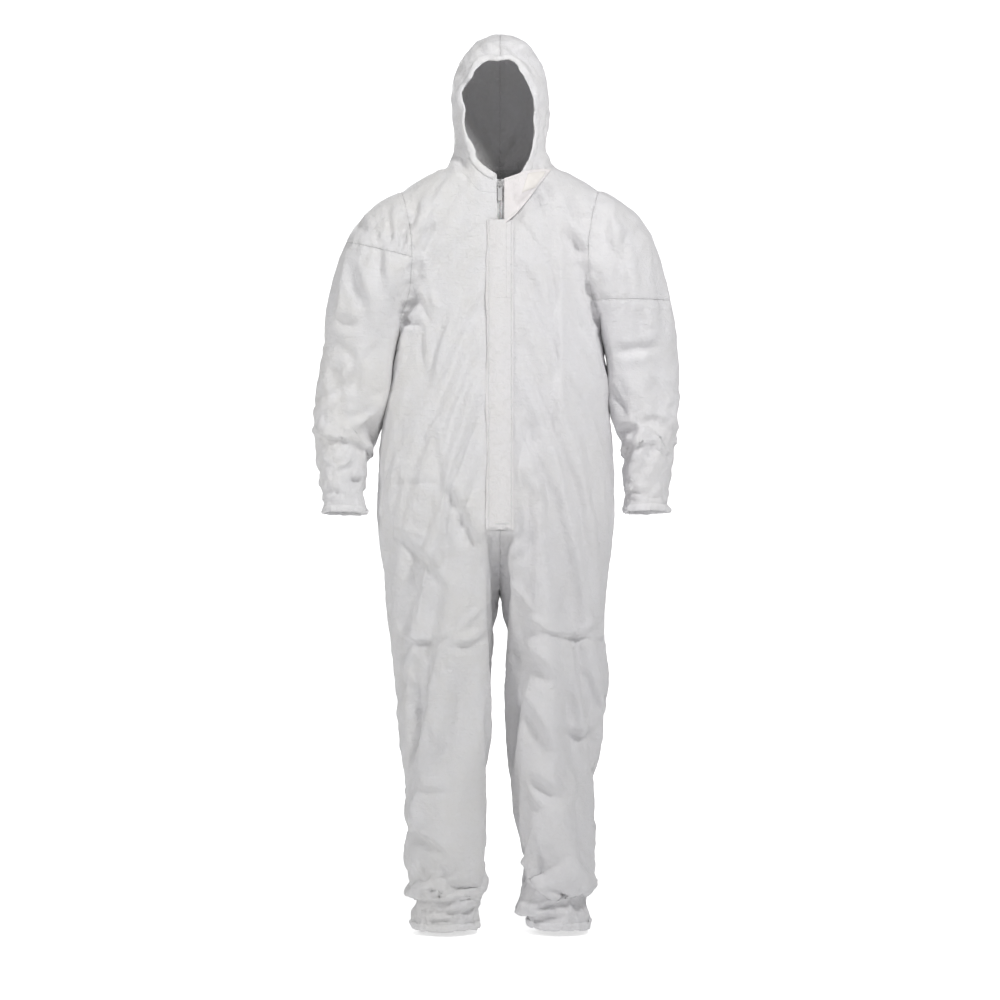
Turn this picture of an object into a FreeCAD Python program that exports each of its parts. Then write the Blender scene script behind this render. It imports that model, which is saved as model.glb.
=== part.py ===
"""Hooded disposable coverall (chemical protective suit, splash and dust type), in its worn shape.

Row frame: millimetres, +Z up, the suit faces -Y, the wearer's left is +X.
Origin: on the plane of the ankle hems, midway between the two ankle openings.
Every fabric panel is a thin shell in its own file. Tubes that bend are split on a
cylinder about the joint's axis, so each piece clears its neighbour through the range.
"""
import FreeCAD, Part
import math, os
from FreeCAD import Vector as V

# ---------------------------------------------------------------- driving sizes
FABRIC = 2.0                # drawn thickness (real laminate is 0.35 to 0.5)
OPEN_END_RUN = 3.0          # how far the inside runs past an open end

ZIP_BOTTOM_Z = 773.0
ZIP_BOTTOM_DEPTH = 152.0    # distance in front of the XZ plane
ZIP_LEAN = 52.0 / 652.0     # the front line leans back towards the neck
ZIP_LENGTH = 650.0
FLAP_BOTTOM = -4.0          # flap ends, measured along the zip
FLAP_TOP = 560.0
FLAP_THICKNESS = 1.2

WRIST_RADIUS = 34.5
ANKLE_RADIUS = 55.0
BAND_WIDTH = 12.0
BAND_WALL = 2.0

# Joint axes and the radii of their split cylinders. The shoulder's axis runs along Y,
# the others along X. The split is 2 * JOINT_GAP wide at the shoulder, JOINT_GAP elsewhere.
JOINT_GAP = 1.5
SHOULDER_XZ, SHOULDER_RADIUS = (195.0, 1290.0), 127.0
ELBOW_YZ, ELBOW_RADIUS = (2.0, 1040.0), 100.0
HIP_YZ, HIP_RADIUS = (0.0, 800.0), 168.0
KNEE_YZ, KNEE_RADIUS = (0.0, 385.0), 145.0
HIP_Z, KNEE_Z, ELBOW_Z = HIP_YZ[1], KNEE_YZ[1], ELBOW_YZ[1]

# Ranges for boxes that pick out a half of the suit
BIG = 900.0
ALL = (-BIG, BIG)
RIGHT, LEFT = (-BIG, 0), (0, BIG)       # in x
FRONT, BACK = (-BIG, 0), (0, BIG)       # in y
SIDE_NAMES = ((-1, "right"), (1, "left"))

# ---------------------------------------------------------------- section tables
RING_POINTS = 24
TORSO_EXPONENT = 2.3        # superellipse exponents: 2 is an ellipse, more is squarer
HOOD_EXPONENT = 2.15

# z, half width, front depth (None: on the line of the zip), back depth
TORSO = [
    (684, 196, 24, 26), (702, 208, 66, 72), (728, 214, 122, 119), (752, 216, 145, 129),
    (773, 218, 152, 133), (795, 219, None, 134), (820, 219.5, None, 134.5),
    (850, 220, None, 134), (930, 217, None, 124), (1010, 208, None, 119),
    (1080, 198, None, 122), (1150, 189, None, 128), (1240, 192, None, 133),
    (1310, 195, None, 132), (1360, 191, None, 127), (1392, 180, None, 120),
    (1416, 158, None, 110), (1434, 128, None, 98), (1446, 104, None, 90),
]

DEPTH_Y = (0.0, 1.0, 0.0)
DEPTH_WRIST = (0.0, 0.9914, -0.131)     # square to the forearm where it leans forward

# Wearer's left sleeve: outer point, inner point, half depth, depth direction, exponent
SLEEVE = [
    ((150, 0, 1402), (150, 0, 1176), 92, DEPTH_Y, 2.1),
    ((200, 0, 1402), (186, 0, 1168), 100, DEPTH_Y, 2.1),
    ((281, 0, 1334), (194, 0, 1156), 92, DEPTH_Y, 2.1),
    ((318, 0, 1228), (203, 0, 1132), 79, DEPTH_Y, 2.1),
    ((337, 2, 1106), (210, 2, 1090), 69, DEPTH_Y, 2.1),
    ((347, 3, 1030), (216, 3, 1030), 65, DEPTH_Y, 2.1),
    ((347, -4, 945), (226, -4, 950), 60, DEPTH_Y, 2.1),
    ((341, -17, 870), (237, -17, 876), 51, DEPTH_WRIST, 2.1),
    ((327, -30, 812), (244, -30, 817), 42.5, DEPTH_WRIST, 2.0),
    ((325.5, -33, 788), (244.5, -33, 792), 40.5, DEPTH_WRIST, 2.0),
]

# Wearer's left leg: z, outer x, inner x, front depth, back depth, exponent
LEG = [
    (770, 208, 8, 128, 122, 2.1), (715, 212, 4, 122, 124, 2.1), (640, 209, 5, 112, 120, 2.1),
    (555, 206, 8, 103, 111, 2.1), (441, 206, 12, 98, 103, 2.1), (372, 201, 14, 95, 98, 2.1),
    (281, 182, 22, 84, 89, 2.1), (190, 176, 26, 79, 84, 2.1), (122, 181, 32, 80, 84, 2.1),
    (76, 172, 36, 72, 76, 2.1), (34, 170, 42, 66, 68, 2.0),
    (12, 167.5, 44.5, 61.5, 61.5, 2.0), (0, 167.5, 44.5, 61.5, 61.5, 2.0),
]

# z, half width, front depth, back depth, centre y
HOOD = [
    (1452, 98, 96, 86, 0), (1472, 91, 91, 90, 0), (1500, 87, 90, 97, 0),
    (1540, 90, 92, 108, 0), (1582, 93, 93, 117, 0), (1622, 88, 92, 119, 0),
    (1652, 77, 85, 110, 2), (1677, 60, 70, 93, 5), (1695, 40, 48, 66, 8),
    (1706, 14, 18, 24, 10),
]

# x, z of the left half of the face opening, bottom to top
FACE = [
    (0, 1426), (15, 1436), (33, 1450), (50, 1472), (63, 1505), (70, 1545),
    (71, 1580), (64, 1615), (46, 1643), (22, 1656), (0, 1659),
]
FACE_CENTRE_Z = 1545.0

# x, z of the region beside the torso that belongs to the left sleeve
SLEEVE_REGION = [
    (186, 1180), (191, 1150), (201, 1105), (211, 1035), (221, 950), (232, 850),
    (234, 700), (BIG, 700), (BIG, 1500), (190, 1500),
]


# ---------------------------------------------------------------- general helpers
def save(name, shape):
    """Write the solids of a shape, leaving out slivers under 1 mm3."""
    solids = [s for s in shape.Solids if s.Volume > 1.0]
    assert solids, name + " has no solid"
    out = solids[0] if len(solids) == 1 else Part.makeCompound(solids)
    out.exportStep("parts/%s.step" % name)


def side_range(side, near, far):
    """A range of x on the wearer's left (side 1), mirrored for the right (side -1)."""
    return (near, far) if side > 0 else (-far, -near)


def box(x_range, y_range, z_range):
    (x0, x1), (y0, y1), (z0, z1) = x_range, y_range, z_range
    return Part.makeBox(x1 - x0, y1 - y0, z1 - z0, V(x0, y0, z0))


def prism(points, direction):
    return Part.Face(Part.makePolygon(points + [points[0]])).extrude(direction)


def closed_curve(points):
    curve = Part.BSplineCurve()
    curve.interpolate(Points=points, PeriodicFlag=True)
    return Part.Wire([curve.toShape()])


def loft(wires):
    solid, ruled, closed, max_degree = True, False, False, 3
    return Part.makeLoft(wires, solid, ruled, closed, max_degree)


def signed_power(value, power):
    return math.copysign(abs(value) ** power, value)


def ring(outer, inner, depth_dir, front, back, exponent, inset):
    """Superellipse from the outer to the inner point, with its own front and back depth."""
    centre = (outer + inner) * 0.5
    width_dir = (outer - inner) * 0.5
    half_width = width_dir.Length - inset
    width_dir.normalize()
    points = []
    for i in range(RING_POINTS):
        angle = 2 * math.pi * (i + 0.5) / RING_POINTS
        across = signed_power(math.cos(angle), 2.0 / exponent)
        along = signed_power(math.sin(angle), 2.0 / exponent)
        depth = (back if along > 0 else front) - inset
        points.append(centre + width_dir * (half_width * across) + depth_dir * (depth * along))
    return closed_curve(points)


def level_ring(z, outer_x, inner_x, y, front, back, exponent, inset):
    return ring(V(outer_x, y, z), V(inner_x, y, z), V(*DEPTH_Y), front, back, exponent, inset)


# ---------------------------------------------------------------- garment solids
# Each is the outside at inset 0. With an inset it is a smaller solid that
# runs past the open ends, so that cutting it away leaves them open.
def end_run(inset):
    return OPEN_END_RUN if inset else 0.0


def torso_solid(inset):
    heights = [row[0] for row in TORSO]
    heights[0] += inset
    heights[-1] += end_run(inset)
    wires = []
    for height, (z, half, front, back) in zip(heights, TORSO):
        if front is None:
            # The depth is taken at the outside's height, not the shifted one
            front = ZIP_BOTTOM_DEPTH - ZIP_LEAN * (z - ZIP_BOTTOM_Z)
        wires.append(level_ring(height, half, -half, 0, front, back, TORSO_EXPONENT, inset))
    return loft(wires)


def sleeve_solid(side, inset):
    shifts = [V(0, 0, 0) for row in SLEEVE]
    if inset:
        shifts[0] = V(-side * OPEN_END_RUN, 0, 0)
        shifts[-1] = V(0, -0.4, -OPEN_END_RUN)
    wires = []
    for shift, (outer, inner, depth, depth_dir, exponent) in zip(shifts, SLEEVE):
        outer_point = V(side * outer[0], outer[1], outer[2]) + shift
        inner_point = V(side * inner[0], inner[1], inner[2]) + shift
        wires.append(ring(outer_point, inner_point, V(*depth_dir), depth, depth,
                          exponent, inset))
    return loft(wires)


def leg_solid(side, inset):
    heights = [row[0] for row in LEG]
    heights[0] += end_run(inset)
    heights[-1] -= end_run(inset)
    return loft([
        level_ring(height, side * outer_x, side * inner_x, 0, front, back, exponent, inset)
        for height, (z, outer_x, inner_x, front, back, exponent) in zip(heights, LEG)
    ])


def hood_solid(inset):
    heights = [row[0] for row in HOOD]
    heights[0] -= end_run(inset)
    heights[-1] -= inset
    heights[-2] -= inset * 0.8      # keeps the thickness where the crown slopes
    return loft([
        level_ring(height, half, -half, centre_y, front, back, HOOD_EXPONENT, inset)
        for height, (z, half, front, back, centre_y) in zip(heights, HOOD)
    ])


def garment_shell():
    """Torso, sleeves and legs as one hollow shell."""
    outside, inside = torso_solid(0), torso_solid(FABRIC)
    for limb_solid in (sleeve_solid, leg_solid):
        for side in (1, -1):
            outside = outside.fuse(limb_solid(side, 0))
            inside = inside.fuse(limb_solid(side, FABRIC))
    return outside.cut(inside)


# ---------------------------------------------------------------- cutting tools
def joint_cylinder(axis_yz, radius, x_range=ALL):
    """Cylinder along X about an elbow, hip or knee."""
    x0, x1 = x_range
    return Part.makeCylinder(radius, x1 - x0, V(x0, *axis_yz), V(1, 0, 0))


def shoulder_cylinder(side, radius):
    x, z = SHOULDER_XZ
    return Part.makeCylinder(radius, 600, V(side * x, -300, z), V(0, 1, 0))


def sleeve_region(side):
    return prism([V(side * x, -300, z) for x, z in SLEEVE_REGION], V(0, 600, 0))


def split_at_joint(shape, axis_yz, radius, above, below, x_range=ALL):
    """Split a limb: the upper piece has the round end, the lower piece is hollowed to clear it."""
    clear = joint_cylinder(axis_yz, radius + JOINT_GAP / 2, x_range)
    round_end = joint_cylinder(axis_yz, radius - JOINT_GAP / 2, x_range)
    return shape.common(above.fuse(round_end)), shape.common(below).cut(clear)


def face_prism(grow=0.0):
    """The face opening, grown outwards from its centre, as a prism through the front."""
    y_start, y_end = -260.0, -20.0
    points = []
    for x, z in FACE + [(-x, z) for x, z in reversed(FACE[1:-1])]:
        distance = math.hypot(x, z - FACE_CENTRE_Z)
        scale = (distance + grow) / distance
        points.append(V(x * scale, y_start, FACE_CENTRE_Z + (z - FACE_CENTRE_Z) * scale))
    return Part.Face(closed_curve(points)).extrude(V(0, y_end - y_start, 0))


# ---------------------------------------------------------------- zip frame
# Ranges in this frame: x, then distance up along the zip, then height out from the front.
def to_zip(shape):
    placed = shape.copy()
    placed.rotate(V(0, 0, 0), V(1, 0, 0), -math.degrees(math.atan(ZIP_LEAN)))
    placed.translate(V(0, -ZIP_BOTTOM_DEPTH, ZIP_BOTTOM_Z))
    return placed


def upright_box(x_range, along, out):
    """A box for the zip frame, before it is leaned into place."""
    return box(x_range, (-out[1], -out[0]), along)


def zip_box(x_range, along, out):
    return to_zip(upright_box(x_range, along, out))


# ---------------------------------------------------------------- fabric panels
def body_panels(shell):
    body = shell
    for side in (1, -1):
        body = body.cut(shoulder_cylinder(side, SHOULDER_RADIUS + JOINT_GAP))
        body = body.cut(sleeve_region(side))
    # Keep the pelvis barrel and everything above it
    below = box(ALL, ALL, (-100, HIP_Z)).cut(joint_cylinder(HIP_YZ, HIP_RADIUS))
    zip_slot = zip_box((-6.5, 6.5), (-5.0, ZIP_LENGTH + 60.0), (-12.0, 30.0))
    body = body.cut(below).cut(face_prism()).cut(zip_slot)
    heights = (0, 2000)
    front = body.common(box(ALL, FRONT, heights))
    save("front_panel_right", front.common(box(RIGHT, ALL, heights)))
    save("front_panel_left", front.common(box(LEFT, ALL, heights)))
    save("back_panel", body.common(box(ALL, BACK, heights)))


def sleeve_panels(shell, side, name):
    disc = shoulder_cylinder(side, SHOULDER_RADIUS - JOINT_GAP)
    sleeve = shell.common(disc.fuse(sleeve_region(side)))
    depth = (-400, 400)
    wide = side_range(side, 40, BIG + 60)
    above = box(wide, depth, (ELBOW_Z, 1600))
    below = box(side_range(side, 100, BIG), depth, (600, ELBOW_Z))
    upper, lower = split_at_joint(sleeve, ELBOW_YZ, ELBOW_RADIUS, above, below, wide)
    save("sleeve_upper_" + name, upper)
    save("sleeve_lower_" + name, lower)


def leg_panels(shell, side, name):
    depth = (-400, 400)
    leg = shell.common(box(side_range(side, 0.5, BIG), depth, (-50, HIP_Z - 1)))
    leg = leg.cut(joint_cylinder(HIP_YZ, HIP_RADIUS + JOINT_GAP))
    for arm_side in (1, -1):
        leg = leg.cut(sleeve_region(arm_side))
        leg = leg.cut(shoulder_cylinder(arm_side, SHOULDER_RADIUS + JOINT_GAP))
    leg = leg.common(box((-232, 232), (-300, 300), (-50, 760)))
    above = box(ALL, depth, (KNEE_Z, 900))
    below = box(ALL, depth, (-50, KNEE_Z))
    upper, lower = split_at_joint(leg, KNEE_YZ, KNEE_RADIUS, above, below)
    for piece, label in ((upper, "leg_upper"), (lower, "leg_lower")):
        for face, y_range in (("front", FRONT), ("back", BACK)):
            panel = piece.common(box(ALL, y_range, (-60, 1000)))
            save("%s_%s_%s" % (label, face, name), panel)


def hood_panels():
    hood = hood_solid(0).cut(hood_solid(FABRIC)).cut(face_prism())
    save("hood_panel_right", hood.common(box(RIGHT, ALL, (1400, 2000))))
    save("hood_panel_left", hood.common(box(LEFT, ALL, (1400, 2000))))


# ---------------------------------------------------------------- elastics and label
def elastic_band(radius, base, axis):
    bore_run = 5.0      # the bore passes both ends of the band
    band = Part.makeCylinder(radius + BAND_WALL, BAND_WIDTH, base, axis)
    return band.cut(Part.makeCylinder(radius, BAND_WIDTH + 2 * bore_run,
                                      base - axis * bore_run, axis))


def wrist_elastic(side, name):
    """A round band inside the cuff, 1 mm short of its end."""
    outer, inner = V(*SLEEVE[-1][0]), V(*SLEEVE[-1][1])
    centre = (outer + inner) * 0.5
    centre.x *= side
    axis = V(0, DEPTH_WRIST[2], -DEPTH_WRIST[1])
    base = centre - axis * (BAND_WIDTH + 1.0)
    save("wrist_elastic_" + name, elastic_band(WRIST_RADIUS, base, axis))


def ankle_elastic(side, name):
    z, outer_x, inner_x = LEG[-1][:3]
    base = V(side * (outer_x + inner_x) / 2, 0, 0.5)
    save("ankle_elastic_" + name, elastic_band(ANKLE_RADIUS, base, V(0, 0, 1)))


def hood_face_elastic():
    """A strip inside the hood, round the face opening."""
    layer = hood_solid(FABRIC + 0.5).cut(hood_solid(FABRIC + 2.0))
    strip = layer.common(face_prism(8.0)).cut(face_prism(2.0))
    save("hood_face_elastic", strip.common(box(ALL, FRONT, (1456, 2000))))


def waist_elastic():
    """A strip inside the back of the waist."""
    layer = torso_solid(FABRIC + 0.6).cut(torso_solid(FABRIC + 1.8))
    save("waist_elastic", layer.common(box(ALL, (25, BIG), (1002, 1022))))


def size_label():
    save("size_label", box((-18, 18), (84.0, 84.6), (1380, 1432)))


# ---------------------------------------------------------------- zip fastener
SLIDER_BOTTOM = ZIP_LENGTH - 16.0       # along the zip, when it is shut
SLIDER_LENGTH = 14.0
PULL_PIVOT = SLIDER_BOTTOM + SLIDER_LENGTH / 2
PULL_PIVOT_OUT = 2.65


def zip_chain():
    """Tapes, teeth and end stops."""
    for side, name in SIDE_NAMES:
        save("zip_tape_" + name,
             zip_box(side_range(side, 0.6, 15.0), (-6.0, ZIP_LENGTH + 2.0), (-4.0, -3.3)))
        save("zip_teeth_" + name,
             zip_box(side_range(side, 0.6, 2.8), (2.0, ZIP_LENGTH - 1.0), (-3.2, -0.8)))
    save("zip_bottom_stop", zip_box((-4.0, 4.0), (-4.0, 1.5), (-3.2, -0.6)))
    top = (ZIP_LENGTH - 0.6, ZIP_LENGTH + 2.0)
    save("zip_top_stops", Part.makeCompound([
        zip_box(side_range(side, 0.7, 3.4), top, (-3.2, -0.6)) for side in (-1, 1)
    ]))


def start_tangent(edge):
    return edge.tangentAt(edge.FirstParameter)


def zip_slider():
    slider = upright_box((-5.5, 5.5), (SLIDER_BOTTOM, SLIDER_BOTTOM + SLIDER_LENGTH), (-5.6, 1.6))
    corners = [e for e in slider.Edges
               if abs(start_tangent(e).z) < 0.1 and abs(start_tangent(e).x) < 0.1]
    slider = slider.makeFillet(1.2, corners)
    # Channels for the teeth, then slots for the tapes, either side of a central web
    through = (SLIDER_BOTTOM - 1, SLIDER_BOTTOM + SLIDER_LENGTH + 1)
    for far_x, out in ((3.2, (-3.6, -0.4)), (6.0, (-4.3, -3.0))):
        for side in (-1, 1):
            slider = slider.cut(upright_box(side_range(side, 0.45, far_x), through, out))
    # The arch on the front that holds the pull tab
    arch = upright_box((-1.2, 1.2), (PULL_PIVOT - 4.0, PULL_PIVOT + 4.0), (1.0, 4.9))
    outer_ends = [e for e in arch.Edges
                  if abs(start_tangent(e).x) > 0.9 and e.BoundBox.YMax < -4.5]
    arch = arch.makeFillet(1.2, outer_ends)
    arch = arch.cut(upright_box((-2, 2), (PULL_PIVOT - 2.4, PULL_PIVOT + 2.4), (1.6, 3.7)))
    save("zip_slider", to_zip(slider.fuse(arch)))


def zip_pull_tab():
    half_bar = 3.8
    out = (PULL_PIVOT_OUT - 0.7, PULL_PIVOT_OUT + 0.7)
    bar = Part.makeCylinder(0.8, 2 * half_bar, V(-half_bar, -PULL_PIVOT_OUT, PULL_PIVOT),
                            V(1, 0, 0))
    arm_along = (PULL_PIVOT - 8.0, PULL_PIVOT)
    arms = upright_box(side_range(1, 2.4, half_bar), arm_along, out)
    arms = arms.fuse(upright_box(side_range(-1, 2.4, half_bar), arm_along, out))
    grip = upright_box((-4.2, 4.2), (PULL_PIVOT - 30.0, PULL_PIVOT - 6.0), out)
    lower_corners = [e for e in grip.Edges
                     if abs(start_tangent(e).y) > 0.9 and e.BoundBox.ZMax < PULL_PIVOT - 20]
    grip = grip.makeFillet(3.0, lower_corners)
    save("zip_pull_tab", to_zip(bar.fuse(arms).fuse(grip).removeSplitter()))


# ---------------------------------------------------------------- storm flap and chin flap
# x, distance out from the front: a shallow channel over the zip
STORM_FLAP_PROFILE = [
    (25, 1.5), (22, 8 + FLAP_THICKNESS), (-22, 8 + FLAP_THICKNESS), (-25, 1.5),
    (-23.7, 1.5), (-21.2, 8), (21.2, 8), (23.7, 1.5),
]
# x, distance along the zip
CHIN_FLAP_OUTLINE = [
    (0, FLAP_TOP + 8), (0, ZIP_LENGTH + 4), (60, ZIP_LENGTH + 24),
    (80, ZIP_LENGTH + 22), (30, FLAP_TOP + 42),
]
CHIN_TAPE_OUTLINE = [
    (50, ZIP_LENGTH + 16), (64, ZIP_LENGTH + 18), (52, FLAP_TOP + 78), (38, FLAP_TOP + 76),
]
CHIN_TILT = 8.0                     # degrees, turns the wearer's left end backwards
CHIN_OFFSET = V(10.0, -7.0, 0)


def storm_flap():
    points = [V(x, -out, FLAP_BOTTOM) for x, out in STORM_FLAP_PROFILE]
    save("storm_flap", to_zip(prism(points, V(0, 0, FLAP_TOP - FLAP_BOTTOM))))
    save("flap_tape", zip_box((-20.0, -10.0), (16.0, FLAP_TOP - 10.0), (0.7, 1.1)))


def chin_layer(outline, out, thickness):
    layer = prism([V(x, -out, along) for x, along in outline], V(0, -thickness, 0))
    layer.rotate(V(0, 0, 0), V(0, 0, 1), CHIN_TILT)
    layer.translate(CHIN_OFFSET)
    return to_zip(layer)


def chin_flap():
    save("chin_flap", chin_layer(CHIN_FLAP_OUTLINE, out=0, thickness=FLAP_THICKNESS))
    save("chin_flap_tape",
         chin_layer(CHIN_TAPE_OUTLINE, out=FLAP_THICKNESS + 0.05, thickness=0.3))


# ---------------------------------------------------------------- build
os.makedirs("parts", exist_ok=True)
suit_shell = garment_shell()
body_panels(suit_shell)
for suit_side, side_name in SIDE_NAMES:
    sleeve_panels(suit_shell, suit_side, side_name)
    wrist_elastic(suit_side, side_name)
    leg_panels(suit_shell, suit_side, side_name)
    ankle_elastic(suit_side, side_name)
hood_panels()
hood_face_elastic()
zip_chain()
zip_slider()
zip_pull_tab()
storm_flap()
chin_flap()
waist_elastic()
size_label()
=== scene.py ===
"""Hooded coverall of nonwoven cloth with a front zip under a storm flap, hanging as worn.

Metres, +z up, hems at z = 0.  The wearer faces -y; the wearer's left is +x (side 1), the right
is -x (side -1).  Tables of measurements are in millimetres.
"""
import math
import bmesh
import bpy
import numpy as np
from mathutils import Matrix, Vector, noise
from mathutils.bvhtree import BVHTree

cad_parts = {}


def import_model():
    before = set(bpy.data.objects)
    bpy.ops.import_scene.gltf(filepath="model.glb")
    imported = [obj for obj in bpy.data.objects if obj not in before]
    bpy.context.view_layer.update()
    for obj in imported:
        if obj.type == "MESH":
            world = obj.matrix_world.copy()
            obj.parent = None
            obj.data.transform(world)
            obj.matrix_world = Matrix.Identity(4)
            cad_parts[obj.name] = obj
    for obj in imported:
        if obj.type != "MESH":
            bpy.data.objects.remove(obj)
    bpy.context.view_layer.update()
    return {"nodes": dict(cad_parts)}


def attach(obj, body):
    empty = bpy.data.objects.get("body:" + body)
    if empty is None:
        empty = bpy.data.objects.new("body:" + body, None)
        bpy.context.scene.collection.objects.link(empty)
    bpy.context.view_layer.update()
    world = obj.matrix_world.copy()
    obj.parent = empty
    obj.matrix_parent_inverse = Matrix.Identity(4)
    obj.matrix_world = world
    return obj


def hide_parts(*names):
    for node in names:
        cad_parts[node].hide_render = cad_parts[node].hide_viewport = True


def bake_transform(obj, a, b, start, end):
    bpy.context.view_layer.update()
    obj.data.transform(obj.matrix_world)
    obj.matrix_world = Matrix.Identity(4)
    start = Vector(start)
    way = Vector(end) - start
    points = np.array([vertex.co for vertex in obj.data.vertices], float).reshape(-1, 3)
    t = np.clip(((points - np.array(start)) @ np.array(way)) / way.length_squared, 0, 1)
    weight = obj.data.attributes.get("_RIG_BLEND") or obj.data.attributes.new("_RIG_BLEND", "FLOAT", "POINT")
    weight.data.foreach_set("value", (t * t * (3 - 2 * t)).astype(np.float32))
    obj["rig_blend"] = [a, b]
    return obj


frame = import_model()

SIDE_NAME = {-1: "right", 1: "left"}

# the viewpoint, used by the camera and by outlines drawn as seen on the plane y = 0
EYE_DISTANCE, EYE_Z, VIEW_WIDTH = 6.0, 0.95, 1.9

# the flat front line that carries the zip (mm)
ZIP_FOOT_Z, ZIP_FOOT_DEPTH = 773, 152
LEAN = 52.0/652.0

ARM_SPREAD, LEG_SPREAD = 0.030, 0.017     # limbs held apart while the shell is fused
WRIST_SHIFT = {1: -9.5, -1: 9.5}          # outwards, mm: the arms do not hang quite alike
CUFF_NORMAL = (0, -0.131, -0.9914)
CLOTH_THICKNESS = 0.0008
SEAMS = ("sa", "sx", "sy", "sc", "sn")    # armhole, centre, side, sleeve cross seam, neck


# ---------------------------------------------------------------- numbers
def curve(xs, ys, x):
    """Monotone cubic through the points, level beyond both ends."""
    xs, ys, x = (np.asarray(values, float) for values in (xs, ys, x))
    if xs[0] > xs[-1]:
        xs, ys = xs[::-1], ys[::-1]
    gap = np.diff(xs)
    rise = np.diff(ys)/gap
    slope = np.zeros_like(ys)
    for i in range(1, len(xs) - 1):
        if rise[i-1]*rise[i] > 0:
            before = 2*gap[i] + gap[i-1]
            after = gap[i] + 2*gap[i-1]
            slope[i] = (before + after)/(before/rise[i-1] + after/rise[i])
    slope[0], slope[-1] = rise[0], rise[-1]
    k = np.clip(np.searchsorted(xs, x) - 1, 0, len(xs) - 2)
    t = np.clip((x - xs[k])/gap[k], 0, 1)
    return ((2*t**3 - 3*t**2 + 1)*ys[k] + (t**3 - 2*t**2 + t)*gap[k]*slope[k]
            + (-2*t**3 + 3*t**2)*ys[k+1] + (t**3 - t**2)*gap[k]*slope[k+1])


def ease(start, end, x):
    """Smooth rise from 0 at start to 1 at end; start may be the larger."""
    t = np.clip((np.asarray(x, float) - start)/(end - start), 0, 1)
    return t*t*(3 - 2*t)


def unit(vectors):
    return vectors/np.maximum(np.linalg.norm(vectors, axis=-1, keepdims=True), 1e-9)


def travel(points):
    """Distance along a polyline at each of its points."""
    steps = np.linalg.norm(np.diff(points, axis=0), axis=1)
    return np.concatenate([[0], np.cumsum(steps)])


def measure_line(spots, line):
    """Distance to a polyline, sign (+ above a line running towards +x), length travelled along
    it to the nearest place, and its total length."""
    nearest = np.full(len(spots), 1e9)
    sign = np.ones(len(spots))
    travelled = np.zeros(len(spots))
    passed = 0.0
    for a, b in zip(line[:-1], line[1:]):
        step = b - a
        length = np.linalg.norm(step)
        t = np.clip(((spots - a) @ step)/max(length*length, 1e-9), 0, 1)
        distance = np.linalg.norm(spots - a - t[:, None]*step, axis=1)
        cross = step[0]*(spots[:, 1] - a[1]) - step[1]*(spots[:, 0] - a[0])
        closer = distance < nearest
        nearest[closer] = distance[closer]
        sign[closer] = np.where(cross[closer] < 0, -1.0, 1.0)
        travelled[closer] = passed + t[closer]*length
        passed += length
    return nearest, sign, travelled, passed


# ---------------------------------------------------------------- meshes
def configure(target, **values):
    for name, value in values.items():
        setattr(target, name, value)
    return target


def mesh_object(name, vertices, faces):
    mesh = bpy.data.meshes.new(name)
    mesh.from_pydata(vertices, [], faces)
    mesh.update()
    ob = bpy.data.objects.new(name, mesh)
    bpy.context.scene.collection.objects.link(ob)
    return ob


def face_outwards(mesh):
    bm = bmesh.new()
    bm.from_mesh(mesh)
    bmesh.ops.recalc_face_normals(bm, faces=bm.faces)
    bm.to_mesh(mesh)
    bm.free()


def shade_smooth(mesh):
    mesh.polygons.foreach_set("use_smooth", np.ones(len(mesh.polygons), bool))


def solid_object(name, vertices, faces):
    """A smooth closed piece that remembers its rest shape for the textures."""
    ob = mesh_object(name, np.asarray(vertices).tolist(), faces)
    face_outwards(ob.data)
    shade_smooth(ob.data)
    set_vectors(ob.data, "rest", vertices)
    return ob


def ring_quads(rings, sides, first=0, closed=False):
    faces = []
    for i in range(rings if closed else rings - 1):
        here, there = first + i*sides, first + (i + 1) % rings*sides
        for j in range(sides):
            k = (j + 1) % sides
            faces.append((here + j, here + k, there + k, there + j))
    return faces


def beads_object(name, beads):
    """Many small capped tubes in one mesh; each bead is an array of rings."""
    faces = []
    first = 0
    for bead in beads:
        rings, sides = bead.shape[:2]
        faces += ring_quads(rings, sides, first)
        faces.append(tuple(range(first, first + sides))[::-1])
        first += rings*sides
        faces.append(tuple(range(first - sides, first)))
    return solid_object(name, np.concatenate([bead.reshape(-1, 3) for bead in beads]), faces)


def sheet(name, top, bottom):
    """Closed sheet between two matching grids of points."""
    rows, columns = top.shape[:2]
    below = rows*columns
    faces = []
    for i in range(rows - 1):
        for j in range(columns - 1):
            a = i*columns + j
            d = a + columns
            faces.append((a, a + 1, d + 1, d))
            faces.append((d + below, d + 1 + below, a + 1 + below, a + below))
    rim = list(range(columns))
    rim += [i*columns + columns - 1 for i in range(1, rows)]
    rim += [(rows - 1)*columns + j for j in range(columns - 2, -1, -1)]
    rim += [i*columns for i in range(rows - 2, 0, -1)]
    faces += [(b, a, a + below, b + below) for a, b in zip(rim, rim[1:] + rim[:1])]
    return solid_object(name, np.concatenate([top.reshape(-1, 3), bottom.reshape(-1, 3)]), faces)


def bake(ob):
    """Apply every modifier."""
    depsgraph = bpy.context.evaluated_depsgraph_get()
    mesh = bpy.data.meshes.new_from_object(ob.evaluated_get(depsgraph), depsgraph=depsgraph)
    ob.modifiers.clear()
    old = ob.data
    ob.data = mesh
    bpy.data.meshes.remove(old)


def coords(mesh):
    values = np.empty(len(mesh.vertices)*3)
    mesh.vertices.foreach_get("co", values)
    return values.reshape(-1, 3)


def set_coords(mesh, points):
    mesh.vertices.foreach_set("co", points.reshape(-1))
    mesh.update()


def vertex_normals(mesh):
    values = np.empty(len(mesh.vertices)*3)
    mesh.vertex_normals.foreach_get("vector", values)
    return values.reshape(-1, 3)


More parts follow.
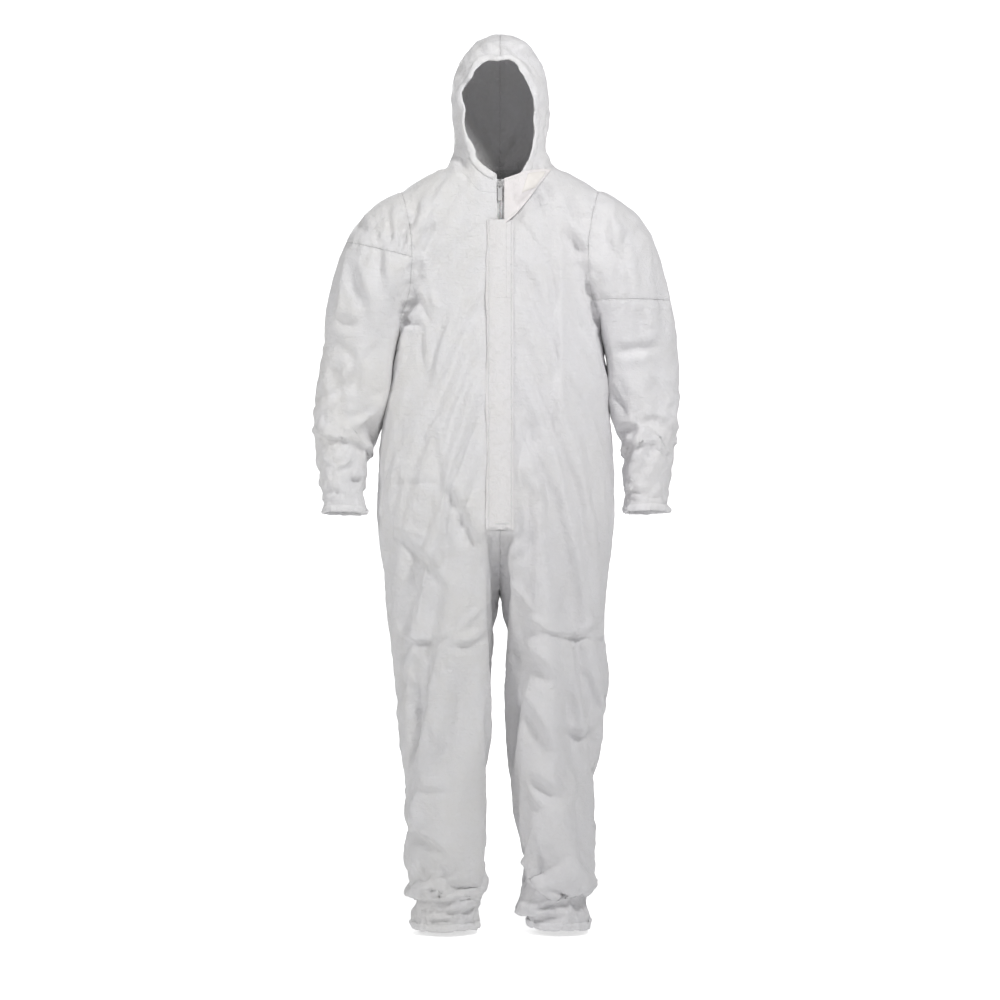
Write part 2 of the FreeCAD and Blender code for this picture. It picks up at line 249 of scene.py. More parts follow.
def edges_of(mesh):
    pairs = np.empty(len(mesh.edges)*2, np.int64)
    mesh.edges.foreach_get("vertices", pairs)
    return pairs.reshape(-1, 2)


def set_values(mesh, name, values):
    attribute = mesh.attributes.new(name, "FLOAT", "POINT")
    attribute.data.foreach_set("value", np.asarray(values, float))


def get_values(mesh, name):
    values = np.empty(len(mesh.vertices))
    mesh.attributes[name].data.foreach_get("value", values)
    return values


def set_vectors(mesh, name, vectors):
    attribute = mesh.attributes.get(name) or mesh.attributes.new(name, "FLOAT_VECTOR", "POINT")
    attribute.data.foreach_set("vector", np.asarray(vectors, float).reshape(-1))


def diffuse(values, edges, rounds, fixed=None, rate=1.0):
    """Repeated averaging with the neighbours; fixed rows keep their values."""
    count = len(values)
    degree = np.bincount(edges.reshape(-1), minlength=count).astype(float)
    result = values.astype(float).reshape(count, -1)
    original = result.copy()
    for _ in range(rounds):
        total = np.zeros_like(result)
        for k in range(result.shape[1]):
            total[:, k] = (np.bincount(edges[:, 0], result[edges[:, 1], k], count)
                           + np.bincount(edges[:, 1], result[edges[:, 0], k], count))
        average = total/np.maximum(degree, 1)[:, None]
        result = result*(1 - rate) + average*rate
        if fixed is not None:
            result[fixed] = original[fixed]
    return result.reshape(values.shape)


def remove_loose(bm):
    for v in [v for v in bm.verts if not v.link_faces]:
        bm.verts.remove(v)


# ---------------------------------------------------------------- the worn shape
FLAT = np.nan     # front depth taken from the flat front line
# z, half width, depth in front of y = 0, depth behind it
TORSO = np.array([
    (684, 196, 24, 26), (702, 208, 66, 72), (728, 214, 122, 119), (752, 216, 145, 129),
    (773, 218, 152, 133), (795, 219, FLAT, 134), (850, 220, FLAT, 134), (930, 217, FLAT, 124),
    (1010, 208, FLAT, 119), (1080, 198, FLAT, 122), (1150, 189, FLAT, 128),
    (1240, 192, FLAT, 133), (1310, 195, FLAT, 132), (1360, 191, FLAT, 127),
    (1392, 194, FLAT, 120), (1414, 174, FLAT, 110), (1432, 146, FLAT, 98),
    (1446, 106, FLAT, 90)], float).T
# z, half width, front depth, back depth, centre y
HOOD = np.array([
    (1425, 120, 101, 95, 0), (1440, 104, 98, 89, 0), (1452, 96, 96, 86, 0),
    (1472, 90, 92, 90, 0), (1500, 87, 90, 97, 0), (1540, 90, 92, 108, 0),
    (1582, 93, 93, 117, 0), (1622, 88, 92, 119, 0), (1652, 77, 85, 110, 2),
    (1677, 60, 70, 93, 5), (1695, 40, 48, 66, 8), (1706, 14, 18, 24, 10)], float).T
# outer edge x, y, z; inner edge x, y, z; half depth
SLEEVE = np.array([
    (150, 0, 1418, 150, 0, 1176, 92), (205, 0, 1401, 186, 0, 1168, 100),
    (281, 0, 1334, 194, 0, 1156, 92), (318, 0, 1228, 203, 0, 1132, 79),
    (337, 2, 1106, 210, 2, 1090, 69), (347, 3, 1030, 216, 3, 1030, 65),
    (347, -4, 945, 226, -4, 950, 60), (341, -17, 870, 237, -17, 876, 51),
    (327, -30, 812, 244, -30, 817, 42.5), (325.5, -33, 788, 244.5, -33, 792, 40.5),
    (325.5, -36, 766, 244.5, -36, 770, 40.5)], float)
# z, front depth, back depth
LEG = np.array([
    (770, 128, 122), (715, 122, 124), (640, 112, 120), (555, 103, 111), (441, 98, 103),
    (372, 95, 98), (281, 84, 89), (190, 79, 84), (122, 80, 84), (76, 72, 76), (34, 66, 68),
    (12, 61.5, 61.5), (0, 61.5, 61.5), (-22, 61.5, 61.5)], float).T
# how each leg hangs: z, outer edge, inner edge
LEG_EDGES = {
    -1: [(770, 216, 8), (715, 219, 0), (660, 219, -4), (635, 218, -3), (605, 216, 0),
         (578, 214, 3), (532, 205, 6), (509, 204, 9.5), (464, 203, 12), (441, 200, 13),
         (418, 194, 15), (395, 189, 15), (372, 202, 15), (350, 191, 17), (304, 184, 21),
         (281, 183, 24), (236, 187, 26), (213, 175, 30), (190, 171, 28), (167, 177, 31),
         (144, 182, 27), (122, 186, 22), (99, 186, 15), (76, 172, 26), (53, 161, 32),
         (30, 169, 34), (12, 164, 41), (0, 164, 42), (-22, 164, 42)],
    1: [(770, 206, 8), (715, 205, 0), (660, 204, -4), (635, 203, -3), (605, 203, 1),
        (578, 203, 5), (532, 207, 8), (486, 212, 13), (441, 209, 13), (418, 203, 11),
        (395, 199, 10), (350, 187, 16), (304, 181, 11), (281, 180, 18), (236, 181, 23),
        (213, 187, 25), (190, 183, 26), (167, 182, 28), (144, 184, 33), (122, 182, 41),
        (99, 187, 44), (76, 168, 38), (53, 166, 26), (30, 171, 43), (12, 169, 51),
        (0, 168, 54), (-22, 168, 54)]}
TORSO_ROUNDNESS, HOOD_ROUNDNESS, LIMB_ROUNDNESS = 2.3, 2.15, 2.1     # 2 is an ellipse
LEAST_HALF = 5                    # mm left of any half width after an inset
TORSO_STEP, HOOD_STEP, LIMB_STEP = 10.0, 8.0, 9.0


def front_line(z):
    """y of the flat front line (metres)."""
    return -(ZIP_FOOT_DEPTH/1000 - LEAN*(z - ZIP_FOOT_Z/1000))


def arm_spread(z):
    return ARM_SPREAD*ease(1.188, 1.10, z)


def leg_spread(z):
    return LEG_SPREAD*ease(0.706, 0.646, z)


def section(count, roundness):
    """Cosines and sines round a squarish oval."""
    turn = 2*np.pi*(np.arange(count) + 0.5)/count
    return [np.sign(c)*np.abs(c)**(2.0/roundness) for c in (np.cos(turn), np.sin(turn))]


def tube(rings):
    """Vertices (metres) and faces of a tube through rings (mm), closed by a fan at each end."""
    rings = rings/1000
    count, sides = rings.shape[:2]
    vertices = rings.reshape(-1, 3).tolist()
    faces = ring_quads(count, sides)
    start = len(vertices)
    vertices += [rings[0].mean(0).tolist(), rings[-1].mean(0).tolist()]
    last = (count - 1)*sides
    for j in range(sides):
        k = (j + 1) % sides
        faces.append((start, k, j))
        faces.append((start + 1, last + j, last + k))
    return vertices, faces


def upright_tube(z, centre_x, half_width, centre_y, front, back, oval):
    cosine, sine = oval
    x = centre_x[:, None] + half_width[:, None]*cosine
    y = centre_y[:, None] + np.where(sine > 0, back[:, None], front[:, None])*sine
    return tube(np.stack([x, y, np.repeat(z[:, None], len(sine), 1)], -1))


def torso_tube(inset):
    station, width, front, back = TORSO
    front = np.where(np.isnan(front), -(front_line(station/1000)*1000), front)
    z = np.arange(684, 1446.1, TORSO_STEP)
    width, front, back = (np.maximum(curve(station, half, z) - inset, LEAST_HALF)
                          for half in (width, front, back))
    width = width + 5*ease(1020, 900, z)
    sideways = -7.5*ease(1060, 900, z)      # the trunk hangs a little to one side at the hips
    return upright_tube(z, sideways, width, 0*z, front, back, section(72, TORSO_ROUNDNESS))


def hood_tube(inset):
    z = np.unique(np.concatenate([np.arange(1425, 1690, HOOD_STEP),
                                  [1690, 1695, 1700, 1704, 1706]]))
    if inset:
        z = z[z < 1706 - inset]
    width, front, back = (np.maximum(curve(HOOD[0], HOOD[k], z) - inset, 4) for k in (1, 2, 3))
    centre = curve(HOOD[0], HOOD[4], z)
    return upright_tube(z, 0*z, width, centre, front, back, section(56, HOOD_ROUNDNESS))


def sleeve_tube(side, inset, spread):
    outer, inner, depth = SLEEVE[:, :3].copy(), SLEEVE[:, 3:6].copy(), SLEEVE[:, 6]
    middle = (outer + inner)/2
    shift = ease(1100, 900, middle[:, 2])*WRIST_SHIFT[side]
    outer[:, 0] += shift
    inner[:, 0] += shift
    middle = (outer + inner)/2 if False else middle
    station = travel((SLEEVE[:, :3] + SLEEVE[:, 3:6])/2)
    stops = np.arange(0, station[-1] + 0.1, LIMB_STEP)
    outer, inner = (np.stack([curve(station, edge[:, k], stops) for k in range(3)], -1)
                    for edge in (outer, inner))
    depth = np.maximum(curve(station, depth, stops) - inset, LEAST_HALF)
    centre = (outer + inner)/2
    outward = (outer - inner)/2
    half = np.linalg.norm(outward, axis=1, keepdims=True)
    outward = outward/half
    half = np.maximum(half - inset, LEAST_HALF)
    cosine, sine = section(44, LIMB_ROUNDNESS)
    lean = ease(960, 820, centre[:, 2])[:, None]      # the forearm tips forward at the cuff
    backward = np.concatenate([0*lean, 1 - 0.0086*lean, -0.131*lean], 1)
    points = (centre[:, None] + (half*outward)[:, None]*cosine[None, :, None]
              + (depth[:, None]*backward)[:, None]*sine[None, :, None])
    if spread:
        points[..., 0] += 1000*arm_spread(points[..., 2]/1000)
    points[..., 0] *= side
    return tube(points[:, ::-1] if side < 0 else points)


def leg_tube(side, inset, spread):
    z = np.arange(-22, 770.1, LIMB_STEP)
    station, outer, inner = np.array(LEG_EDGES[side], float).T
    outer, inner = curve(station, outer, z), curve(station, inner, z)
    front, back = (curve(LEG[0], LEG[k], z) for k in (1, 2))
    half, front, back = (np.maximum(size - inset, LEAST_HALF)
                         for size in ((outer - inner)/2, front, back))
    centre = (outer + inner)/2 + (1000*leg_spread(z/1000) if spread else 0)
    return upright_tube(z, side*centre, side*half, 0*z, front, back,
                        section(52, LIMB_ROUNDNESS))


def fused_figure(name, voxel, smoothing, torso=0, hood=0, sleeve=0, leg=0, spread=True):
    """All tubes fused to one skin, each drawn in by its inset (mm)."""
    tubes = [torso_tube(torso), hood_tube(hood)]
    tubes += [sleeve_tube(side, sleeve, spread) for side in (1, -1)]
    tubes += [leg_tube(side, leg, spread) for side in (1, -1)]
    vertices, faces = [], []
    for points, polygons in tubes:
        first = len(vertices)
        vertices += points
        faces += [tuple(i + first for i in polygon) for polygon in polygons]
    ob = mesh_object(name, vertices, faces)
    ob.data.validate()
    face_outwards(ob.data)
    configure(ob.modifiers.new("remesh", "REMESH"), mode="VOXEL", voxel_size=voxel, adaptivity=0)
    configure(ob.modifiers.new("smooth", "SMOOTH"), iterations=smoothing, factor=0.5)
    bake(ob)
    return ob


# ---------------------------------------------------------------- openings
# outline of the face opening as seen on the plane y = 0: x, z
FACE_OUTLINE = np.array([
    (11.97, 1424.43), (36.67, 1439.06), (57, 1465.28), (65.74, 1508.6), (67.26, 1563.7),
    (63.46, 1593.15), (53.2, 1616.52), (36.1, 1642.55), (17.67, 1657.75), (-5.7, 1654.9),
    (-25.84, 1658.13), (-45.6, 1645.4), (-54.15, 1621.65), (-73.15, 1607.4),
    (-66.12, 1558.38), (-53.58, 1500.05), (-41.8, 1465.28), (-18.62, 1444.95),
    (-1.14, 1436.21)])/1000
FACE_NEARNESS = 1.0144            # the face stands nearer the eye than y = 0
FACE_X, FACE_Z = 0.0, 1.545       # middle of the opening


def face_polar():
    """Angles and radii of the opening about its middle, overlapping at the ends."""
    x = FACE_OUTLINE[:, 0]/FACE_NEARNESS
    z = EYE_Z + (FACE_OUTLINE[:, 1] - EYE_Z)/FACE_NEARNESS
    angle = np.arctan2(z - FACE_Z, x - FACE_X)
    radius = np.hypot(x - FACE_X, z - FACE_Z)
    order = np.argsort(angle)
    angle, radius = angle[order], radius[order]
    return (np.concatenate([angle[-3:] - 2*np.pi, angle, angle[:3] + 2*np.pi]),
            np.concatenate([radius[-3:], radius, radius[:3]]))


FACE_ANGLE, FACE_RADIUS = face_polar()


def outside_face(x, z):
    """Distance out from the opening's outline, negative inside."""
    angle = np.arctan2(z - FACE_Z, x - FACE_X)
    return np.hypot(x - FACE_X, z - FACE_Z) - curve(FACE_ANGLE, FACE_RADIUS, angle)


def cuff_centre(side, spread=0.0):
    return (side*(0.285 + spread + WRIST_SHIFT[side]/1000), -0.0335, 0.7895)


def open_hems(bm):
    bmesh.ops.bisect_plane(bm, geom=bm.verts[:] + bm.edges[:] + bm.faces[:],
                           plane_co=(0, 0, 0.001), plane_no=(0, 0, -1), clear_outer=True)
    for side in (1, -1):
        def by_cuff(part):
            corners = [part] if isinstance(part, bmesh.types.BMVert) else part.verts
            return all(v.co.x*side > 0.245 and v.co.z < 0.86 for v in corners)
        parts = bm.verts[:] + bm.edges[:] + bm.faces[:]
        bmesh.ops.bisect_plane(bm, geom=[part for part in parts if by_cuff(part)],
                               plane_co=Vector(cuff_centre(side, ARM_SPREAD)),
                               plane_no=Vector(CUFF_NORMAL).normalized(), clear_outer=True)


def open_face(bm):
    bm.verts.ensure_lookup_table()
    points = np.array([v.co[:] for v in bm.verts])
    outside = outside_face(points[:, 0], points[:, 2])
    inside = (outside < 0) & (points[:, 1] < -0.02) & (points[:, 2] > 1.40)
    gone = [f for f in bm.faces
            if sum(inside[v.index] for v in f.verts) >= max(1, len(f.verts)/2)]
    bmesh.ops.delete(bm, geom=gone, context="FACES")
    remove_loose(bm)
    # draw the rim onto the outline, evening it out between pulls
    for _ in range(3):
        rim = [v for v in bm.verts if v.is_boundary and v.co.z > 1.40]
        for v in rim:
            distance = float(outside_face(v.co.x, v.co.z))
            outward = Vector((v.co.x - FACE_X, 0, v.co.z - FACE_Z)).normalized()
            v.co -= outward*distance*0.9
        rim = [v for v in bm.verts if v.is_boundary and v.co.z > 1.40]
        moved = {}
        for v in rim:
            beside = [e.other_vert(v) for e in v.link_edges if e.is_boundary]
            if len(beside) == 2:
                moved[v] = v.co*0.5 + (beside[0].co + beside[1].co)*0.25
        for v, place in moved.items():
            v.co = place


# the gap between sleeve and body below the armpit: z, x
ARM_GAP = np.array([(1188, 188), (1168, 190), (1156, 196), (1132, 207), (1090, 218),
                    (1030, 226), (950, 235), (876, 243), (760, 248)], float).T/1000


def close_limbs(mesh):
    """Bring the spread limbs back and mark the sleeves in the attribute "arm"."""
    points = coords(mesh)
    out, z = np.abs(points[:, 0]), points[:, 2]
    sleeve = ((z < 1.188) & (out > curve(*ARM_GAP, z))) | ((z >= 1.188) & (out > 0.188))
    points[:, 0] -= np.sign(points[:, 0])*np.where(sleeve, arm_spread(z), leg_spread(z))
    set_coords(mesh, points)
    set_values(mesh, "arm", sleeve)


garment = fused_figure("garment", voxel=0.0105, smoothing=3)
bm = bmesh.new()
bm.from_mesh(garment.data)
open_hems(bm)
open_face(bm)
bm.to_mesh(garment.data)
bm.free()
close_limbs(garment.data)


# ---------------------------------------------------------------- drape
def zip_strip(points, half_width, foot, top):
    """1 on the strip of the front that carries the zip, fading over the given pairs."""
    x, y, z = points.T
    return ease(*half_width, np.abs(x))*(y < 0)*ease(*foot, z)*ease(*top, z)


def vertex_group(ob, name, weights):
    group = ob.vertex_groups.new(name=name)
    for i, weight in enumerate(weights):
        group.add([i], float(weight), "REPLACE")


def pin_weights(points, rim, sleeve, trunk):
    x, y, z = points.T
    weight = np.where(trunk, 0.10, 0.05)
    weight = np.maximum(weight, 0.5*ease(1.38, 1.46, z))
    on_zip = (np.abs(x) < 0.026) & (y < 0) & (z > 0.765) & (z < 1.44)
    weight = np.maximum(weight, 1.0*on_zip)
    weight[rim] = 1.0
    weight = np.maximum(weight, np.where(sleeve, 0.9*ease(0.812, 0.795, z), 0))
    return np.maximum(weight, 0.9*ease(0.022, 0.010, z))


def growth(points, sleeve, trunk):
    """How much larger the cloth is cut than the shape, by place."""
    x, _, z = points.T
    grow = 0.05 + 0.05*ease(0.30, 0.05, z)
    grow = grow + 0.03*np.exp(-((z - 0.45)/0.10)**2)*(~sleeve)
    grow = np.where(sleeve, 0.060 + 0.030*ease(1.10, 0.90, z), grow)
    grow = np.where(trunk, 0.024 + 0.02*ease(1.0, 0.72, z), grow)
    grow = grow + 0.03*np.exp(-((z - 1.17)/0.07)**2)*ease(0.13, 0.18, np.abs(x))
    return grow + np.where(z > 1.46, 0.015, 0)


def drape(ob, frames=26, most_growth=0.13, jitter=0.0006):
    """Let the oversized cloth buckle over the body, then keep its folds."""
    start = coords(ob.data)
    x, _, z = start.T
    form = fused_figure("body_form", voxel=0.014, smoothing=4, torso=15, hood=12, sleeve=14,
                        leg=18, spread=False)
    form.modifiers.new("collision", "COLLISION")
    configure(form.collision, thickness_outer=0.004, cloth_friction=12)
    probe = bmesh.new()
    probe.from_mesh(ob.data)
    rim = np.array([v.is_boundary for v in probe.verts])
    probe.free()
    sleeve = get_values(ob.data, "arm") > 0.5
    trunk = (~sleeve) & (z > 0.66)
    vertex_group(ob, "pin", pin_weights(start, rim, sleeve, trunk))
    vertex_group(ob, "shrink", np.clip(1 - growth(start, sleeve, trunk)/most_growth, 0, 1))
    random = np.random.default_rng(11)
    set_coords(ob.data, start + random.normal(0, jitter, start.shape)*(~rim)[:, None])
    cloth = ob.modifiers.new("cloth", "CLOTH")
    configure(cloth.settings, quality=5, mass=0.12,
              tension_stiffness=30, compression_stiffness=30, shear_stiffness=12,
              bending_stiffness=1.0, tension_damping=10, compression_damping=10,
              shear_damping=8, bending_damping=1, air_damping=2.0,
              vertex_group_mass="pin", pin_stiffness=0.6, vertex_group_shrink="shrink",
              shrink_min=-most_growth, shrink_max=0.0,
              use_pressure=True, uniform_pressure_force=0.2)
    configure(cloth.collision_settings, collision_quality=2, distance_min=0.003,
              use_self_collision=False)
    configure(cloth.point_cache, frame_start=1, frame_end=frames + 1)
    for number in range(1, frames + 1):
        bpy.context.scene.frame_set(number)
    bake(ob)
    bpy.context.scene.frame_set(1)
    bpy.data.objects.remove(form, do_unlink=True)
    # keep the folds and drop most of the slow drift, so that the outline stays put
    moved = coords(ob.data) - start
    drift = diffuse(moved, edges_of(ob.data), 110)
    drift_kept = np.where(z > 1.44, 0.15, 0.25)
    gain = 1.0 + 0.25*ease(1.10, 0.95, z)*ease(0.10, 0.22, z)
    gain = np.where(sleeve, 1.15 - 0.15*ease(0.90, 0.84, z), gain)
    kept = (moved - drift)*gain[:, None] + drift*drift_kept[:, None]
    strip = zip_strip(start, half_width=(0.045, 0.020), foot=(0.74, 0.78), top=(1.47, 1.42))
    kept *= (1 - strip)[:, None]
    length = np.linalg.norm(kept, axis=1)
    kept *= np.minimum(1, 0.028/np.maximum(length, 1e-9))[:, None]
    set_coords(ob.data, start + kept)


drape(garment)

# ---------------------------------------------------------------- how the cloth follows the limbs
# middle line of the sleeve from the neck side of the armhole: x, z
SLEEVE_LINE = np.array([(150, 1289), (193, 1285), (237.5, 1245), (260.5, 1180), (273.5, 1098),
                        (281.5, 1030), (286.5, 947), (289, 873), (285.5, 814.5),
                        (285, 790)])/1000
ELBOW_X, ELBOW_Z = 0.267, 1.140              # the plane between upper and lower sleeve
ELBOW_NORMAL_X, ELBOW_NORMAL_Z = 0.157, -0.988


def sleeve_travel(points):
    return measure_line(np.stack([np.abs(points[:, 0]), points[:, 2]], -1), SLEEVE_LINE)[2]


def past_elbow(x, z):
    return (abs(x) - ELBOW_X)*ELBOW_NORMAL_X + (z - ELBOW_Z)*ELBOW_NORMAL_Z


def spread_weight(mesh, name, guess, none, full, rounds):
    """Store a weight held at 0 and 1 in two areas and smoothed between them."""
    guess[none] = 0
    guess[full] = 1
    set_values(mesh, name, diffuse(guess, edges_of(mesh), rounds, fixed=none | full, rate=0.9))


def add_follow_weights(mesh):
    """Weight of the upper arm in "ws" and of the thigh in "wh"."""
    points = coords(mesh)
    sleeve = get_values(mesh, "arm") > 0.5
    out, y, z = np.abs(points[:, 0]), points[:, 1], points[:, 2]
    down = sleeve_travel(points)
    spread_weight(
        mesh, "ws",
        np.where(sleeve, ease(-0.05, 0.213, down), ease(0.10, 0.20, out)*0.4*ease(1.0, 1.15, z)),
        none=(out < 0.09) | (~sleeve & (z < 1.0)) | (z > 1.47),
        full=sleeve & ((down >= 0.213) | (past_elbow(points[:, 0], z) >= -0.010)), rounds=900)
    still = ((z > 0.93) | sleeve | ((out < 0.013) & (z >= 0.650))
             | ((out < 0.036) & (z > 0.758) & (y < 0)))
    spread_weight(mesh, "wh", ease(0.93, 0.585, z), none=still,
                  full=~sleeve & (z < 0.585) & ~still, rounds=700)


add_follow_weights(garment.data)
configure(garment.modifiers.new("subdivide", "SUBSURF"), levels=1, render_levels=1)
bake(garment)

